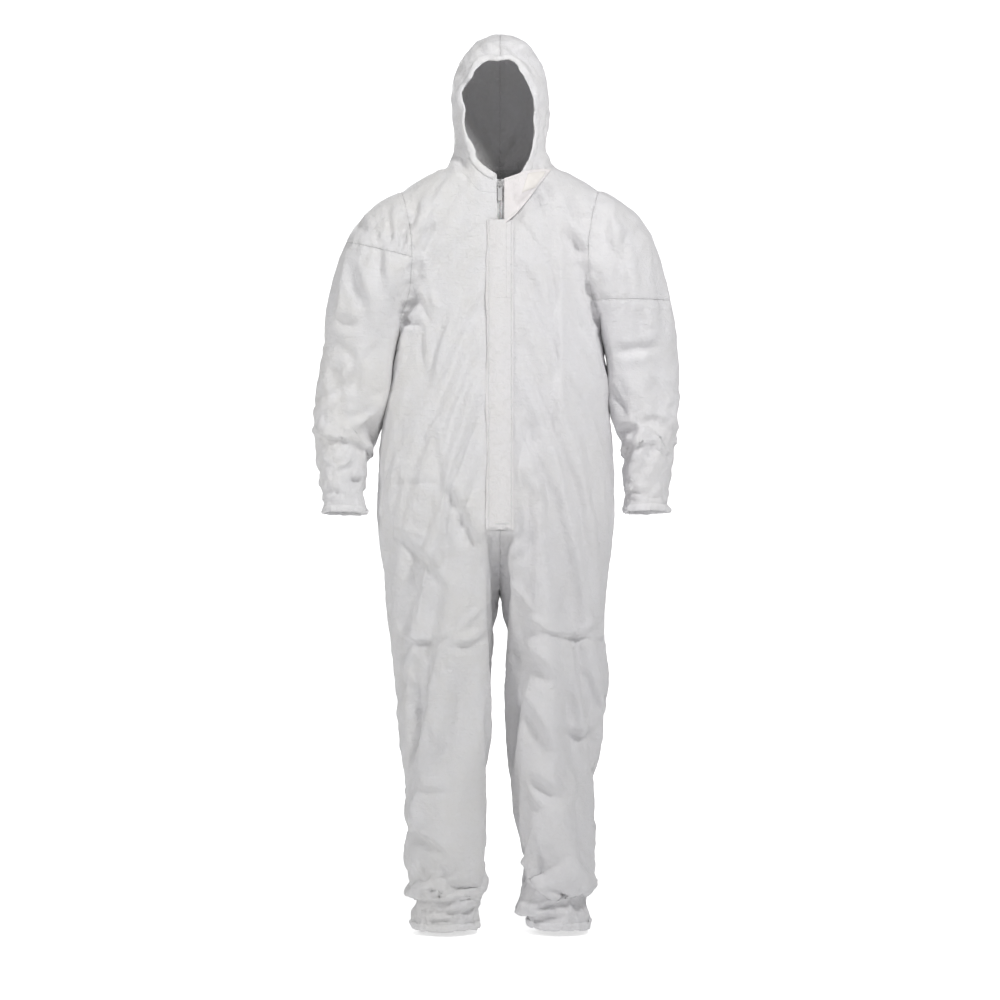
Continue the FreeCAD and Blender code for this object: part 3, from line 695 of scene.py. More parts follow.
# ---------------------------------------------------------------- folds
# Each row: kind, height, width, then x, z of each point of the fold's line as seen on the
# plane y = 0.  The raised side is above a line running towards +x.
FRONT_FOLDS = {
    "trunk": [
        ("fold", 2.6, 7.6, 106.4, 1381.3, 110.2, 1200.8, 110.2, 1026, 100.7, 881.6),
        ("ridge", 1.6, 5.7, 89.3, 1130.5, 105.64, 1060.2),
        ("fold", 3.6, 9.5, -79.8, 1216, -112.1, 1134.3, -129.2, 1050.7, -131.1, 1020.3),
        ("ridge", 2.6, 5.7, -116.85, 980.4, -129.2, 957.6, -141.55, 934.8),
        ("fold", 2.4, 7.6, -118.75, 965.2, -116.85, 902.5, -108.3, 856.9),
        ("fold", 4.6, 11.4, -108.3, 857.66, -71.44, 812.25, -46.74, 735.3),
        ("groove", 2.0, 7.6, -112.67, 849.3, -116.85, 820.8, -137.37, 762.85),
        ("ridge", 2.2, 5.7, -211.47, 769.5, -153.9, 762.85, -133, 737.2),
        ("fold", 3.6, 9.5, -195.7, 761.9, -145.54, 718.2, -125.4, 691.6, -102.6, 649.8),
        ("groove", 1.5, 5.7, -220.4, 853.1, -167.2, 851.2, -112.1, 855),
        ("ridge", 1.6, 5.7, -207.1, 877.8, -190, 885.4, -171, 894.9),
        ("fold", 3.0, 6.65, -150.1, 1216, -140.6, 1189.4, -127.3, 1160.9),
        ("fold", 2.6, 5.7, -136.8, 1223.6, -131.1, 1195.1, -117.8, 1174.2),
        ("groove", 4.0, 7.6, -188.1, 1178, -171, 1189.4, -150.1, 1210.3),
        ("groove", 3.0, 5.7, -186.77, 1179.9, -178.6, 1157.1, -144.4, 1153.3),
        ("groove", 2.2, 7.6, -152, 1280.6, -150.86, 1216),
        ("fold", 2.2, 6.65, -143.64, 1159, -142.5, 1105.8, -141.55, 1048.8),
        ("groove", 4.0, 19, 76, 988, 43.7, 919.6, 20.9, 858.8),
        ("fold", 2.6, 7.6, 76, 877.8, 62.7, 843.6, 72.2, 828.4, 81.7, 798),
        ("fold", 2.6, 9.5, 36.1, 811.3, 41.8, 794.2, 32.3, 748.6, 10.83, 716.3, 0.95, 668.8),
        ("groove", 1.2, 7.6, -2.85, 769.5, -1.9, 725.8, -1.9, 676.4),
        ("groove", 3.0, 11.4, -172.9, 1398.4, -163.4, 1352.8, -182.4, 1314.8, -188.1, 1273),
        ("fold", 3.2, 7.6, -138.7, 1404.1, -161.5, 1351.85, -184.3, 1314.8, -188.67, 1273),
        ("ridge", 1.8, 5.7, -144.4, 1396.5, -155.8, 1368),
        ("groove", 2.6, 11.4, -108.3, 1345.96, -150.1, 1314.8, -152, 1280.6),
        ("fold", 3.4, 11.4, -24.7, 1354.7, 26.6, 1385.1, 64.6, 1413.6, 98.8, 1430.7),
        ("fold", 4.0, 8.55, 182.02, 1406, 188.1, 1371.8, 205.2, 1326.2, 209, 1273),
        ("groove", 3.0, 13.3, 133, 1402.2, 148.2, 1356.6, 190, 1341.4),
        ("groove", 2.6, 11.4, 119.7, 1335.7, 138.7, 1303.4, 161.5, 1280.6),
        ("fold", 2.4, 7.6, 157.7, 1273, 174.8, 1238.8, 190, 1189.4),
        ("groove", 2.4, 9.5, 197.6, 1273, 186.2, 1231.2, 190, 1178),
        ("fold", 2.2, 7.6, 144.4, 1143.8, 171, 1083, 201.4, 1014.6),
        ("groove", 2.4, 13.3, -57, 1330, -114, 1273, -142.5, 1219.8),
        ("groove", 2.0, 15.2, 38, 1273, 68.4, 1200.8, 77.9, 1124.8),
        ("step", 3.9, 15.2, -201.4, 575.7, -182.4, 560.5, -163.4, 552.9, -127.3, 551.95,
         -85.5, 568.1),
        ("fold", 3.2, 7.6, -102.6, 552.9, -79.8, 547.2, -53.2, 547.96, -20.9, 575.7),
        ("ridge", 3.6, 4.94, -76.57, 573.8, -55.1, 598.5, -30.4, 623.96),
        ("fold", 2.2, 6.84, -157.7, 547.2, -174.8, 532, -191.9, 509.2),
        ("fold", 2.0, 7.6, -167.2, 532, -150.1, 501.6, -144.4, 459.8, -152, 429.4),
        ("fold", 1.8, 9.5, -199.5, 513, -182.4, 486.4, -152, 459.8, -112.1, 446.5),
        ("groove", 1.6, 11.4, -193.8, 459.8, -167.2, 435.1, -129.2, 418),
        ("fold", 1.8, 7.6, -91.2, 501.6, -72.2, 440.8, -79.8, 364.8),
        ("groove", 2.0, 5.7, -108.3, 509.2, -95, 494),
        ("groove", 4.6, 28.5, -51.3, 554.8, -72.2, 383.8, -102.6, 326.8, -136.8, 266),
        ("fold", 2.6, 7.6, -164.16, 279.3, -131.86, 270.75, -95, 271.7),
        ("step", 5.4, 15.2, -176.7, 269.8, -161.5, 199.5, -136.8, 176.7, -104.5, 159.6,
         -98.8, 133),
        ("groove", 2.4, 5.7, -112.1, 129.2, -98.8, 112.1),
        ("fold", 2.4, 7.6, -136.8, 402.8, -121.6, 361, -140.6, 334.4),
        ("step", 8.0, 17.1, -167.2, 66.5, -121.6, 61.75, -76, 60.8, -30.4, 66.5),
        ("step", 4.6, 7.6, -163.4, 43.7, -129.2, 45.6, -95, 39.9, -30.4, 51.3),
        ("step", 4.2, 7.6, -167.2, 26.6, -133, 23.75, -91.2, 22.8, -60.8, 30.4),
        ("ridge", 2.2, 4.94, -72.2, 55.1, -57, 57, -45.6, 53.2),
        ("ridge", 3.0, 4.94, 15.2, 666.9, 38, 646.95, 68.4, 608),
        ("fold", 3.2, 6.08, 49.4, 598.5, 66.5, 589, 87.4, 571.9),
        ("fold", 3.0, 5.7, 43.7, 589, 60.8, 577.6, 77.9, 562.4),
        ("step", 4.8, 13.3, 76, 577.6, 91.2, 570.95, 121.6, 563.35, 167.2, 560.5,
         209, 557.65),
        ("fold", 3.0, 7.6, 121.6, 556.7, 167.2, 573.8, 201.4, 592.8),
        ("fold", 4.6, 13.3, 15.2, 560.5, 47.5, 535.8, 89.3, 499.7, 119.7, 456, 133, 444.6),
        ("fold", 4.8, 13.3, 26.6, 459.8, 74.1, 402.8, 93.1, 361, 117.8, 309.7),
        ("fold", 3.2, 9.5, 98.8, 395.2, 136.8, 380, 167.2, 375.25, 197.6, 414.2),
        ("fold", 4.2, 7.6, 115.9, 323, 133, 279.3, 119.7, 235.6),
        ("fold", 4.2, 11.4, 45.6, 304, 93.1, 279.3, 127.3, 245.1),
        ("fold", 3.4, 6.46, 43.13, 298.3, 57, 255.55, 81.7, 226.1),
        ("ridge", 1.8, 5.7, 79.8, 224.2, 70.3, 169.1, 70.3, 125.4),
        ("fold", 4.2, 7.6, 45.6, 115.9, 60.8, 93.1, 81.7, 70.3),
        ("step", 8.4, 20.9, 36.1, 47.5, 55.1, 39.9, 102.6, 57, 152, 72.2, 184.3, 96.9,
         195.7, 114),
        ("ridge", 3.4, 13.3, 171, 140.6, 129.2, 93.1),
        ("fold", 2.6, 6.46, 57, 24.7, 114, 34.2, 171, 28.5),
        ("groove", 3.0, 19, -152, 706.8, -144.4, 630.8, -133, 581.4),
        ("groove", 3.0, 19, 148.2, 706.8, 140.6, 630.8, 125.4, 581.4)],
    "hood": [
        ("fold", 2.6, 7.6, 22.04, 1680.36, 41.8, 1672, 64.6, 1664.4),
        ("groove", 3.0, 13.3, 45.6, 1691, 64.6, 1656.8, 77.9, 1618.8),
        ("fold", 3.0, 9.5, -70.3, 1571.3, -72.2, 1523.8, -62.7, 1482),
        ("fold", 2.6, 7.6, 81.7, 1590.3, 81.7, 1542.8, 76, 1493.4),
        ("fold", 3.4, 9.5, 87.4, 1489.6, 70.3, 1457.3, 95, 1442.1),
        ("groove", 3.0, 9.5, -81.7, 1485.8, -74.1, 1459.2, -57, 1436.4),
        ("groove", 2.6, 11.4, -64.6, 1653, -72.2, 1626.4, -74.1, 1596),
        ("fold", 2.2, 7.6, -41.8, 1679.6, -19, 1675.8, 0, 1683.4),
        ("fold", 2.0, 7.6, 15.2, 1687.2, 45.6, 1675.8, 72.2, 1645.4, 85.5, 1611.2),
        ("groove", 1.8, 7.6, -3.8, 1694.8, 22.8, 1683.4, 41.8, 1662.5),
        ("fold", 1.8, 6.65, 91.2, 1588.4, 87.4, 1531.4, 77.9, 1485.8)],
    "sleeve": [
        ("fold", 1.2, 4.94, -214.7, 1392.7, -209, 1352.8, -199.5, 1297.7),
        ("fold", 1.2, 4.94, -229.9, 1385.1, -220.4, 1341.4, -207.1, 1290.1),
        ("groove", 1.2, 5.7, -245.1, 1377.5, -235.6, 1330, -233.7, 1284.4),
        ("fold", 1.2, 5.32, 214.7, 1392.7, 207.1, 1349, 197.6, 1295.8),
        ("fold", 1.2, 5.32, 231.8, 1381.3, 220.4, 1333.8, 207.1, 1284.4),
        ("groove", 1.1, 5.7, 250.8, 1364.2, 239.4, 1314.8, 235.6, 1273),
        ("step", 7.4, 17.1, -364.8, 951.9, -330.6, 938.6, -304, 936.7, -273.6, 931),
        ("groove", 4.0, 7.6, -281.2, 929.1, -269.8, 919.6, -262.2, 906.3),
        ("step", 4.6, 9.5, -288.8, 868.3, -269.8, 862.6, -250.8, 864.5),
        ("groove", 3.2, 5.7, -338.2, 839.8, -319.2, 836, -298.3, 835.05),
        ("step", 3.8, 9.5, -349.6, 855, -334.4, 822.7, -321.1, 790.4),
        ("groove", 3.4, 9.5, -321.1, 1164.7, -292.6, 1155.2, -262.2, 1149.5),
        ("fold", 3.2, 11.4, -281.2, 1273, -250.8, 1200.8, -243.2, 1124.8),
        ("fold", 3.6, 9.5, -216.6, 1322.4, -224.2, 1261.6, -212.8, 1200.8),
        ("fold", 3.0, 7.6, -199.5, 1396.5, -207.1, 1354.7, -195.7, 1273),
        ("fold", 2.8, 9.5, -285, 1124.8, -262.2, 1064, -273.6, 991.8),
        ("groove", 3.0, 11.4, -323, 1086.8, -304, 1018.4, -315.4, 957.6),
        ("fold", 3.0, 7.6, -266, 906.3, -281.2, 877.8, -307.8, 862.6),
        ("groove", 3.4, 9.5, 212.8, 1102, 258.4, 1105.8, 311.6, 1115.3),
        ("fold", 4.0, 9.5, 269.8, 976.6, 254.6, 919.6, 235.6, 855),
        ("fold", 3.4, 9.5, 307.8, 953.8, 288.8, 904.4, 269.8, 855),
        ("step", 4.4, 9.5, 228, 843.6, 250.8, 836, 288.8, 843.6),
        ("step", 5.4, 15.2, 224.2, 934.8, 266, 923.4, 319.2, 938.6),
        ("fold", 3.4, 9.5, 201.4, 1388.9, 212.8, 1330, 205.2, 1273),
        ("fold", 3.0, 11.4, 231.8, 1273, 247, 1200.8, 235.6, 1140),
        ("fold", 3.0, 9.5, 266, 1200.8, 281.2, 1143.8, 266, 1086.8),
        ("groove", 3.0, 11.4, 288.8, 1064, 304, 1007, 292.6, 953.8),
        ("fold", 2.8, 9.5, 228, 1064, 247, 1010.8, 239.4, 953.8),
        ("groove", 2.6, 11.4, -294.5, 1381.3, -269.8, 1341.4, -228, 1314.8),
        ("groove", 2.6, 11.4, 294.5, 1368, 266, 1330, 224.2, 1303.4)]}
BACK_FOLDS = {
    "trunk": [
        ("fold", 4, 13.3, -114, 1390.8, -91.2, 1219.8, -57, 1086.8),
        ("fold", 4, 13.3, 117.8, 1371.8, 91.2, 1219.8, 60.8, 1064),
        ("groove", 4, 17.1, 0, 1333.8, 5.7, 1200.8, -5.7, 1067.8),
        ("fold", 4, 11.4, -152, 972.8, -102.6, 877.8, -38, 782.8),
        ("fold", 4, 11.4, 163.4, 965.2, 98.8, 877.8, 38, 782.8),
        ("groove", 4, 11.4, -57, 953.8, -34.2, 858.8, -11.4, 744.8),
        ("groove", 4, 11.4, 64.6, 942.4, 38, 858.8, 13.3, 744.8),
        ("fold", 4.5, 11.4, -167.2, 695.4, -102.6, 661.2, -22.8, 668.8),
        ("fold", 4.5, 11.4, 171, 695.4, 98.8, 657.4, 22.8, 665),
        ("step", 5, 17.1, -193.8, 459.8, -133, 440.8, -57, 452.2),
        ("step", 5, 15.2, -182.4, 410.4, -125.4, 399, -41.8, 418),
        ("step", 5, 17.1, 53.2, 459.8, 125.4, 444.6, 193.8, 463.6),
        ("step", 5, 15.2, 45.6, 418, 114, 395.2, 186.2, 410.4),
        ("fold", 4, 11.4, -144.4, 250.8, -102.6, 212.8, -57, 228),
        ("fold", 4, 11.4, 60.8, 239.4, 106.4, 209, 159.6, 239.4),
        ("step", 6, 17.1, -167.2, 64.6, -102.6, 58.9, -30.4, 68.4),
        ("step", 6, 17.1, 41.8, 57, 106.4, 51.3, 186.2, 64.6),
        ("step", 4, 9.5, -159.6, 34.2, -102.6, 30.4, -38, 38),
        ("step", 4, 9.5, 49.4, 30.4, 106.4, 26.6, 178.6, 34.2)],
    "sleeve": [
        ("step", 5, 15.2, -345.8, 1048.8, -304, 1037.4, -254.6, 1052.6),
        ("step", 5, 15.2, -342, 1010.8, -300.2, 1003.2, -250.8, 1010.8),
        ("step", 5, 15.2, 254.6, 1052.6, 300.2, 1037.4, 349.6, 1048.8),
        ("step", 5, 15.2, 250.8, 1010.8, 296.4, 1001.3, 342, 1012.7),
        ("step", 5, 11.4, -342, 877.8, -304, 870.2, -254.6, 881.6),
        ("step", 5, 11.4, 254.6, 881.6, 292.6, 868.3, 330.6, 877.8)],
    "hood": [
        ("fold", 3, 11.4, -41.8, 1542.8, -19, 1493.4, 0, 1466.8),
        ("fold", 3, 11.4, 45.6, 1546.6, 22.8, 1497.2, 3.8, 1466.8)]}
FRONT_GAIN = {"trunk": 2.3, "sleeve": 2.0, "hood": 2.6}
HEM_GAIN, HEM_TOP = 1.55, 83.6      # trunk folds centred below HEM_TOP (mm)
BACK_GAIN = 2.0
HIGHEST_FOLD = 12.5
STEP_EDGE = 1.045                   # softness of a step's edge
SELECTION_MARGIN = 7.6              # mm beyond five widths that a front fold still acts


def rounded_line(values, rounds=2):
    """The fold's line with its corners cut."""
    line = np.reshape(np.array(values, float), (-1, 2))
    if len(line) < 3:
        return line
    for _ in range(rounds):
        cut_line = [line[0]]
        for a, b in zip(line[:-1], line[1:]):
            cut_line += [0.75*a + 0.25*b, 0.25*a + 0.75*b]
        line = np.array(cut_line + [line[-1]])
    return line


def fold_profile(kind, distance, sign, height, width):
    above = distance*sign
    if kind == "groove":
        return (-height*np.exp(-(distance/width)**2)
                + 0.35*height*np.exp(-((distance - 2.0*width)/width)**2))
    if kind == "ridge":
        return height*np.exp(-(distance/width)**1.4)
    if kind == "fold":
        return (height*np.exp(-(np.abs(above - 0.9*width)/(1.3*width))**1.5)
                - 0.9*height*np.exp(-((above + 0.9*width)/width)**2))
    upper = 1/(1 + np.exp(np.clip(-above/STEP_EDGE, -30, 30)))
    return (height*upper*np.exp(-np.maximum(above, 0)/width)
            - 0.45*height*(1 - upper)*np.exp(np.minimum(above, 0)/(0.6*width)))


def fold_relief(points, normals, regions):
    """Height of all the drawn folds (metres)."""
    nearness = EYE_DISTANCE/(EYE_DISTANCE + points[:, 1])
    seen = 1000*np.stack([points[:, 0]*nearness,
                          EYE_Z + (points[:, 2] - EYE_Z)*nearness], -1)
    relief = np.zeros(len(points))

    def add(near, weight, kind, height, width, line, fade_power):
        near = np.where(near & (weight > 0))[0]
        distance, sign, travelled, total = measure_line(seen[near], line)
        fade = np.sin(np.pi*np.clip(travelled/total, 0.001, 0.999))**fade_power
        height = min(height, HIGHEST_FOLD)
        relief[near] += (0.001*fold_profile(kind, distance, sign, height, width)
                         * fade*weight[near])

    front = ease(0.02, 0.32, -normals[:, 1])
    for region, rows in FRONT_FOLDS.items():
        for kind, height, width, *values in rows:
            line = rounded_line(values)
            low = line.min(0) - 5*width - SELECTION_MARGIN
            high = line.max(0) + 5*width + SELECTION_MARGIN
            at_hem = region == "trunk" and line[:, 1].mean() < HEM_TOP
            gain = HEM_GAIN if at_hem else FRONT_GAIN[region]
            add(np.all((seen > low) & (seen < high), axis=1), front*regions[region],
                kind, height*gain, width, line, 0.6 if kind == "step" else 0.9)
    back = ease(0.05, 0.35, normals[:, 1])
    for region, rows in BACK_FOLDS.items():
        for kind, height, width, *values in rows:
            line = rounded_line(values)
            reach = np.ptp(line, axis=0)/2 + 5*width
            add(np.all(np.abs(seen - line.mean(0)) < reach, axis=1), back*regions[region],
                kind, height*BACK_GAIN, width, line, 0.8)
    return relief


def crumple_relief(points, sleeve, hood):
    """Fine crumple, stronger where the cloth bunches, over broad soft waves."""
    fine, broad = np.empty(len(points)), np.empty(len(points))
    for i, (x, y, z) in enumerate(points.tolist()):
        large = noise.noise((x*24 + 3, y*24, z*15))
        small = noise.noise((x*52, y*52 + 7, z*38))
        broad[i] = (0.6*noise.noise((x*8.5 + 1.7, y*8.5, z*5.5 + 4))
                    + 0.4*noise.noise((x*17, y*17 + 2.2, z*11)))
        fine[i] = (0.5 - abs(large)*2.2)*0.95 + (0.35 - abs(small)*1.6)*0.55
    z = points[:, 2]
    # more at the hood, the hems, below the knees' front fold band and on the lower sleeves
    bunching = (0.65 + 0.8*ease(1.44, 1.48, z) + 0.9*ease(0.16, 0.05, z)
                + 0.7*np.exp(-((z - 0.545)/0.06)**2)*(sleeve < 0.5)
                + 0.8*ease(0.98, 0.84, z)*(sleeve > 0.5))
    waves = 0.0035 + 0.0060*ease(0.86, 0.68, z)*(sleeve < 0.5) + 0.002*(sleeve > 0.5)
    return (0.001*fine*bunching + broad*waves*(1 - hood)*ease(0.03, 0.10, z)
            * ease(0.012, 0.035, np.abs(points[:, 0])))


def armpit_relief(points, normals, sleeve):
    """Sleeve and body swell towards each other below the armpit."""
    x, _, z = points.T
    outward = normals[:, 0]*np.sign(x)
    swell = np.where(x < 0, 0.0062*ease(0.94, 1.01, z), 0.0040*ease(0.99, 1.04, z))
    swell = swell*ease(1.170, 1.125, z)
    return swell*np.where(sleeve > 0.5, ease(0.45, 0.85, -outward),
                          ease(0.45, 0.85, outward)*ease(0.15, 0.18, np.abs(x)))


def gather_relief(points, sleeve):
    """Gathers at cuffs and ankles, and along the waist elastic in the back."""
    x, y, z = points.T
    relief = np.zeros(len(points))

    def gathers(near, centre, count, sway, ripple, twist, side):
        angle = np.arctan2(y[near] - centre[1], x[near] - centre[0])
        return np.sin(count*angle + sway*np.sin(2*angle + side) + ripple*np.sin(5*angle) + twist)

    for side in (1, -1):
        centre = np.array(cuff_centre(side))
        near = np.where((sleeve > 0.5) & (x*side > 0) & (z < 0.95))[0]
        rise = -(points[near] - centre) @ np.array(CUFF_NORMAL)
        relief[near] += (0.0019*np.exp(-np.maximum(rise, 0)/0.030)
                         * gathers(near, centre, 15, 1.6, 0.8, rise*20, side))
        near = np.where((sleeve < 0.5) & (x*side > 0) & (z < 0.25))[0]
        relief[near] += (0.0024*np.exp(-z[near]/0.026)
                         * gathers(near, (side*0.108, 0), 19, 1.8, 0.9, z[near]*14, side))
    waist = np.exp(-((z - 1.012)/0.030)**2)*ease(0.0, 0.05, y)*(sleeve < 0.5)
    ruffle = 0.0026*np.sin(x*2*math.pi/0.017 + 1.3*np.sin(x*60) + 8*z)
    return relief + waist*(ruffle - 0.0070*np.exp(-((z - 1.012)/0.014)**2))


# ---------------------------------------------------------------- seams
ARMHOLE = np.array([(1158, 189), (1163, 188), (1220, 170), (1290, 165), (1350, 172),
                    (1410, 188), (1440, 200)], float).T/1000      # z, x
ARMHOLE_FOOT, ARMHOLE_TOP = 1.158, 1.44
NECK_FRONT = np.array([(0, 1.397), (0.010, 1.397), (0.036, 1.400), (0.049, 1.411),
                       (0.064, 1.430), (0.085, 1.445), (0.11, 1.452),
                       (0.2, 1.452)]).T                           # x, z in metres
NECK_BACK_Z = 1.452


def armhole(z):
    return curve(*ARMHOLE, z)


def neck_z(x, y):
    to_front = ease(-0.02, -0.07, y)
    return NECK_BACK_Z*(1 - to_front) + curve(*NECK_FRONT, np.abs(x))*to_front


def seam_distances(points, sleeve):
    """Signed distance to each seam; 1 or -1 metre where the seam does not run."""
    x, y, z = points.T
    out = np.abs(x)

    def within(area, distance):
        return np.where(area, distance, np.where(distance < 0, -1.0, 1.0))
    cross = np.where(x < 0, z - (1.308 - 0.25*(x + 0.285)), z - 1.199)
    centre_runs = ((z > 0.62) & ((y > 0) | (z < 0.770))) | (z > 1.60)
    sleeve_runs = (z > 1.165) & (z < 1.40) & (out > armhole(z) - 0.0005)
    return {"sa": within((z > ARMHOLE_FOOT) & (z < ARMHOLE_TOP), out - armhole(z)),
            "sx": within(centre_runs, x),
            "sy": within((sleeve < 0.5) & (z < 1.165), y),
            "sc": within(sleeve_runs, cross),
            "sn": within((z > 1.37) & (z < 1.50) & (out < 0.14), z - neck_z(x, y))}


def pucker_relief(points, seams):
    x, y, z = points.T
    along = {"sx": z, "sa": z, "sy": z, "sc": np.arctan2(y, np.abs(x) - 0.24)*0.09, "sn": x}
    strength = {"sa": 0.4 + 0.8*np.abs(np.sin(z*9.7 + 1.3)), "sy": 0.30}
    relief = np.zeros(len(points))
    for seam, place in along.items():
        distance = seams[seam]
        waves = (np.sin(place*2*math.pi/0.023 + 2.6*np.sin(place*37) + distance*90)
                 + 0.7*np.sin(place*2*math.pi/0.041 + 1))
        relief += np.exp(-(distance/0.013)**2)*waves*0.0016*strength.get(seam, 0.6)
        relief -= np.exp(-(distance/0.0050)**2)*0.0014
    return relief


def fold_cloth(mesh):
    points, normals = coords(mesh), vertex_normals(mesh)
    sleeve = get_values(mesh, "arm")
    hood = ease(1.42, 1.45, points[:, 2])*ease(0.16, 0.12, np.abs(points[:, 0]))
    on_sleeve = ease(0.4, 0.6, sleeve)
    regions = {"sleeve": on_sleeve, "hood": hood*(sleeve < 0.5),
               "trunk": (1 - on_sleeve)*(1 - hood)}
    relief = (fold_relief(points, normals, regions) + crumple_relief(points, sleeve, hood)
              + armpit_relief(points, normals, sleeve) + gather_relief(points, sleeve)
              + pucker_relief(points, seam_distances(points, sleeve)))
    relief *= 1 - zip_strip(points, half_width=(0.034, 0.024), foot=(0.768, 0.79),
                            top=(1.445, 1.425))
    points = points + normals*relief[:, None]
    # the cloth under the zip lies on the straight front line
    strip = zip_strip(points, half_width=(0.030, 0.016), foot=(0.755, 0.770),
                      top=(1.450, 1.432))
    points[:, 1] = points[:, 1]*(1 - strip) + strip*front_line(points[:, 2])
    set_coords(mesh, diffuse(points, edges_of(mesh), 1, rate=0.15))


fold_cloth(garment.data)

# ---------------------------------------------------------------- cuts along the seams
WAIST_CUT, KNEE_CUT = 0.93, 0.505
ZIP_GAP_HALF, ZIP_GAP_FOOT = 0.0058, 0.768


def faces_where(bm, test):
    return [f for f in bm.faces if test(f.calc_center_median(), f)]


def cut_faces(bm, faces, place, normal):
    edges = {e for f in faces for e in f.edges}
    vertices = {v for f in faces for v in f.verts}
    bmesh.ops.bisect_plane(bm, geom=list(faces) + list(edges) + list(vertices), dist=2e-4,
                           plane_co=place, plane_no=normal)


def cut(bm, test, place, normal):
    cut_faces(bm, faces_where(bm, test), place, normal)


def cut_curved(bm, test, axis, offset, place, normal):
    """Cut along a curved seam: straighten it along one axis, cut, put it back."""
    def shift(sign):
        points = np.array([v.co[:] for v in bm.verts])
        for v, amount in zip(bm.verts, offset(points)):
            v.co[axis] += sign*amount
    faces = faces_where(bm, test)
    shift(-1)
    cut_faces(bm, faces, place, normal)
    shift(1)


def cut_seams(bm):
    sleeve_layer = bm.verts.layers.float["arm"]

    def on_sleeve(face):
        return face.verts[0][sleeve_layer] > 0.5
    for side in (1, -1):
        cut_curved(bm, lambda c, f: 0.14 < c.x*side < 0.215 and ARMHOLE_FOOT < c.z < ARMHOLE_TOP,
                   0, lambda points: side*(armhole(points[:, 2]) - 0.17),
                   (side*0.17, 0, 0), (1, 0, 0))
    cut_curved(bm, lambda c, f: abs(c.x) < 0.15 and 1.37 < c.z < 1.48,
               2, lambda points: neck_z(points[:, 0], points[:, 1]) - 1.42,
               (0, 0, 1.42), (0, 0, 1))
    cut(bm, lambda c, f: abs(c.x) < 0.02, (0, 0, 0), (1, 0, 0))
    cut(bm, lambda c, f: not on_sleeve(f) and c.z < 1.45 and abs(c.y) < 0.02,
        (0, 0, 0), (0, 1, 0))
    for level in (WAIST_CUT, KNEE_CUT):
        cut(bm, lambda c, f: not on_sleeve(f) and abs(c.z - level) < 0.02,
            (0, 0, level), (0, 0, 1))
    for side in (1, -1):
        cut(bm, lambda c, f: (on_sleeve(f) and c.x*side > 0.18
                              and abs(past_elbow(c.x, c.z)) < 0.02),
            Vector((side*ELBOW_X, 0, ELBOW_Z)),
            Vector((side*ELBOW_NORMAL_X, 0, ELBOW_NORMAL_Z)))


def rim_loops(bm):
    """Points, normals and directions into the cloth round each hem and the face."""
    bm.normal_update()
    bm.verts.index_update()
    left = {v for v in bm.verts if v.is_boundary}
    loops = []
    while left:
        loop = [min(left, key=lambda v: v.index)]
        left.discard(loop[0])
        while True:
            following = [e.other_vert(loop[-1]) for e in loop[-1].link_edges if e.is_boundary]
            following = [v for v in following if v in left]
            if not following:
                break
            loop.append(following[0])
            left.discard(following[0])
        if len(loop) < 20:
            continue
        inward = []
        for v in loop:
            steps = [e.other_vert(v).co - v.co for e in v.link_edges if not e.is_boundary]
            inward.append((sum(steps, Vector())/max(1, len(steps)))[:])
        loops.append((np.array([v.co[:] for v in loop]), np.array([v.normal[:] for v in loop]),
                      np.array(inward)))
    return loops


def open_zip(bm):
    def near_zip(c, f):
        return c.y < -0.02 and 0.70 < c.z < 1.45 and abs(c.x) < 0.03
    for x in (ZIP_GAP_HALF, -ZIP_GAP_HALF):
        cut(bm, near_zip, (x, 0, 0), (1, 0, 0))
    cut(bm, near_zip, (0, 0, ZIP_GAP_FOOT), (0, 0, 1))
    gone = faces_where(bm, lambda c, f: (near_zip(c, f) and abs(c.x) < ZIP_GAP_HALF - 0.0001
                                         and c.z > ZIP_GAP_FOOT))
    bmesh.ops.delete(bm, geom=gone, context="FACES")
    remove_loose(bm)


bm = bmesh.new()
bm.from_mesh(garment.data)
cut_seams(bm)
loops = rim_loops(bm)
open_zip(bm)
bmesh.ops.recalc_face_normals(bm, faces=bm.faces)
bm.to_mesh(garment.data)
bm.free()

# ---------------------------------------------------------------- cloth pieces
mesh = garment.data
points, normals = coords(mesh), vertex_normals(mesh)
sleeve_mark = get_values(mesh, "arm")
seams = seam_distances(points, sleeve_mark)
corner_count = np.empty(len(mesh.polygons), np.int64)
mesh.polygons.foreach_get("loop_total", corner_count)
corners = np.empty(len(mesh.loops), np.int64)
mesh.loops.foreach_get("vertex_index", corners)
first_corner = np.concatenate([[0], np.cumsum(corner_count)[:-1]])
polygons = [corners[a:a + count] for a, count in zip(first_corner, corner_count)]
cloth_pieces = []


def follow(ob, still, moving, weight, start, end):
    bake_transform(ob, still, moving, start, end)
    ob.data.attributes["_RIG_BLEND"].data.foreach_set("value", np.clip(weight, 0, 1))


def hood_weight(points):
    """The collar stays with the body, the hood turns with the head."""
    x, y, z = points.T
    height = z - neck_z(x, y) - 0.006 - 0.045*ease(0.0, -0.07, y)
    return ease(0, 1, height/(0.055 + 0.13*ease(0.09, -0.09, y)))


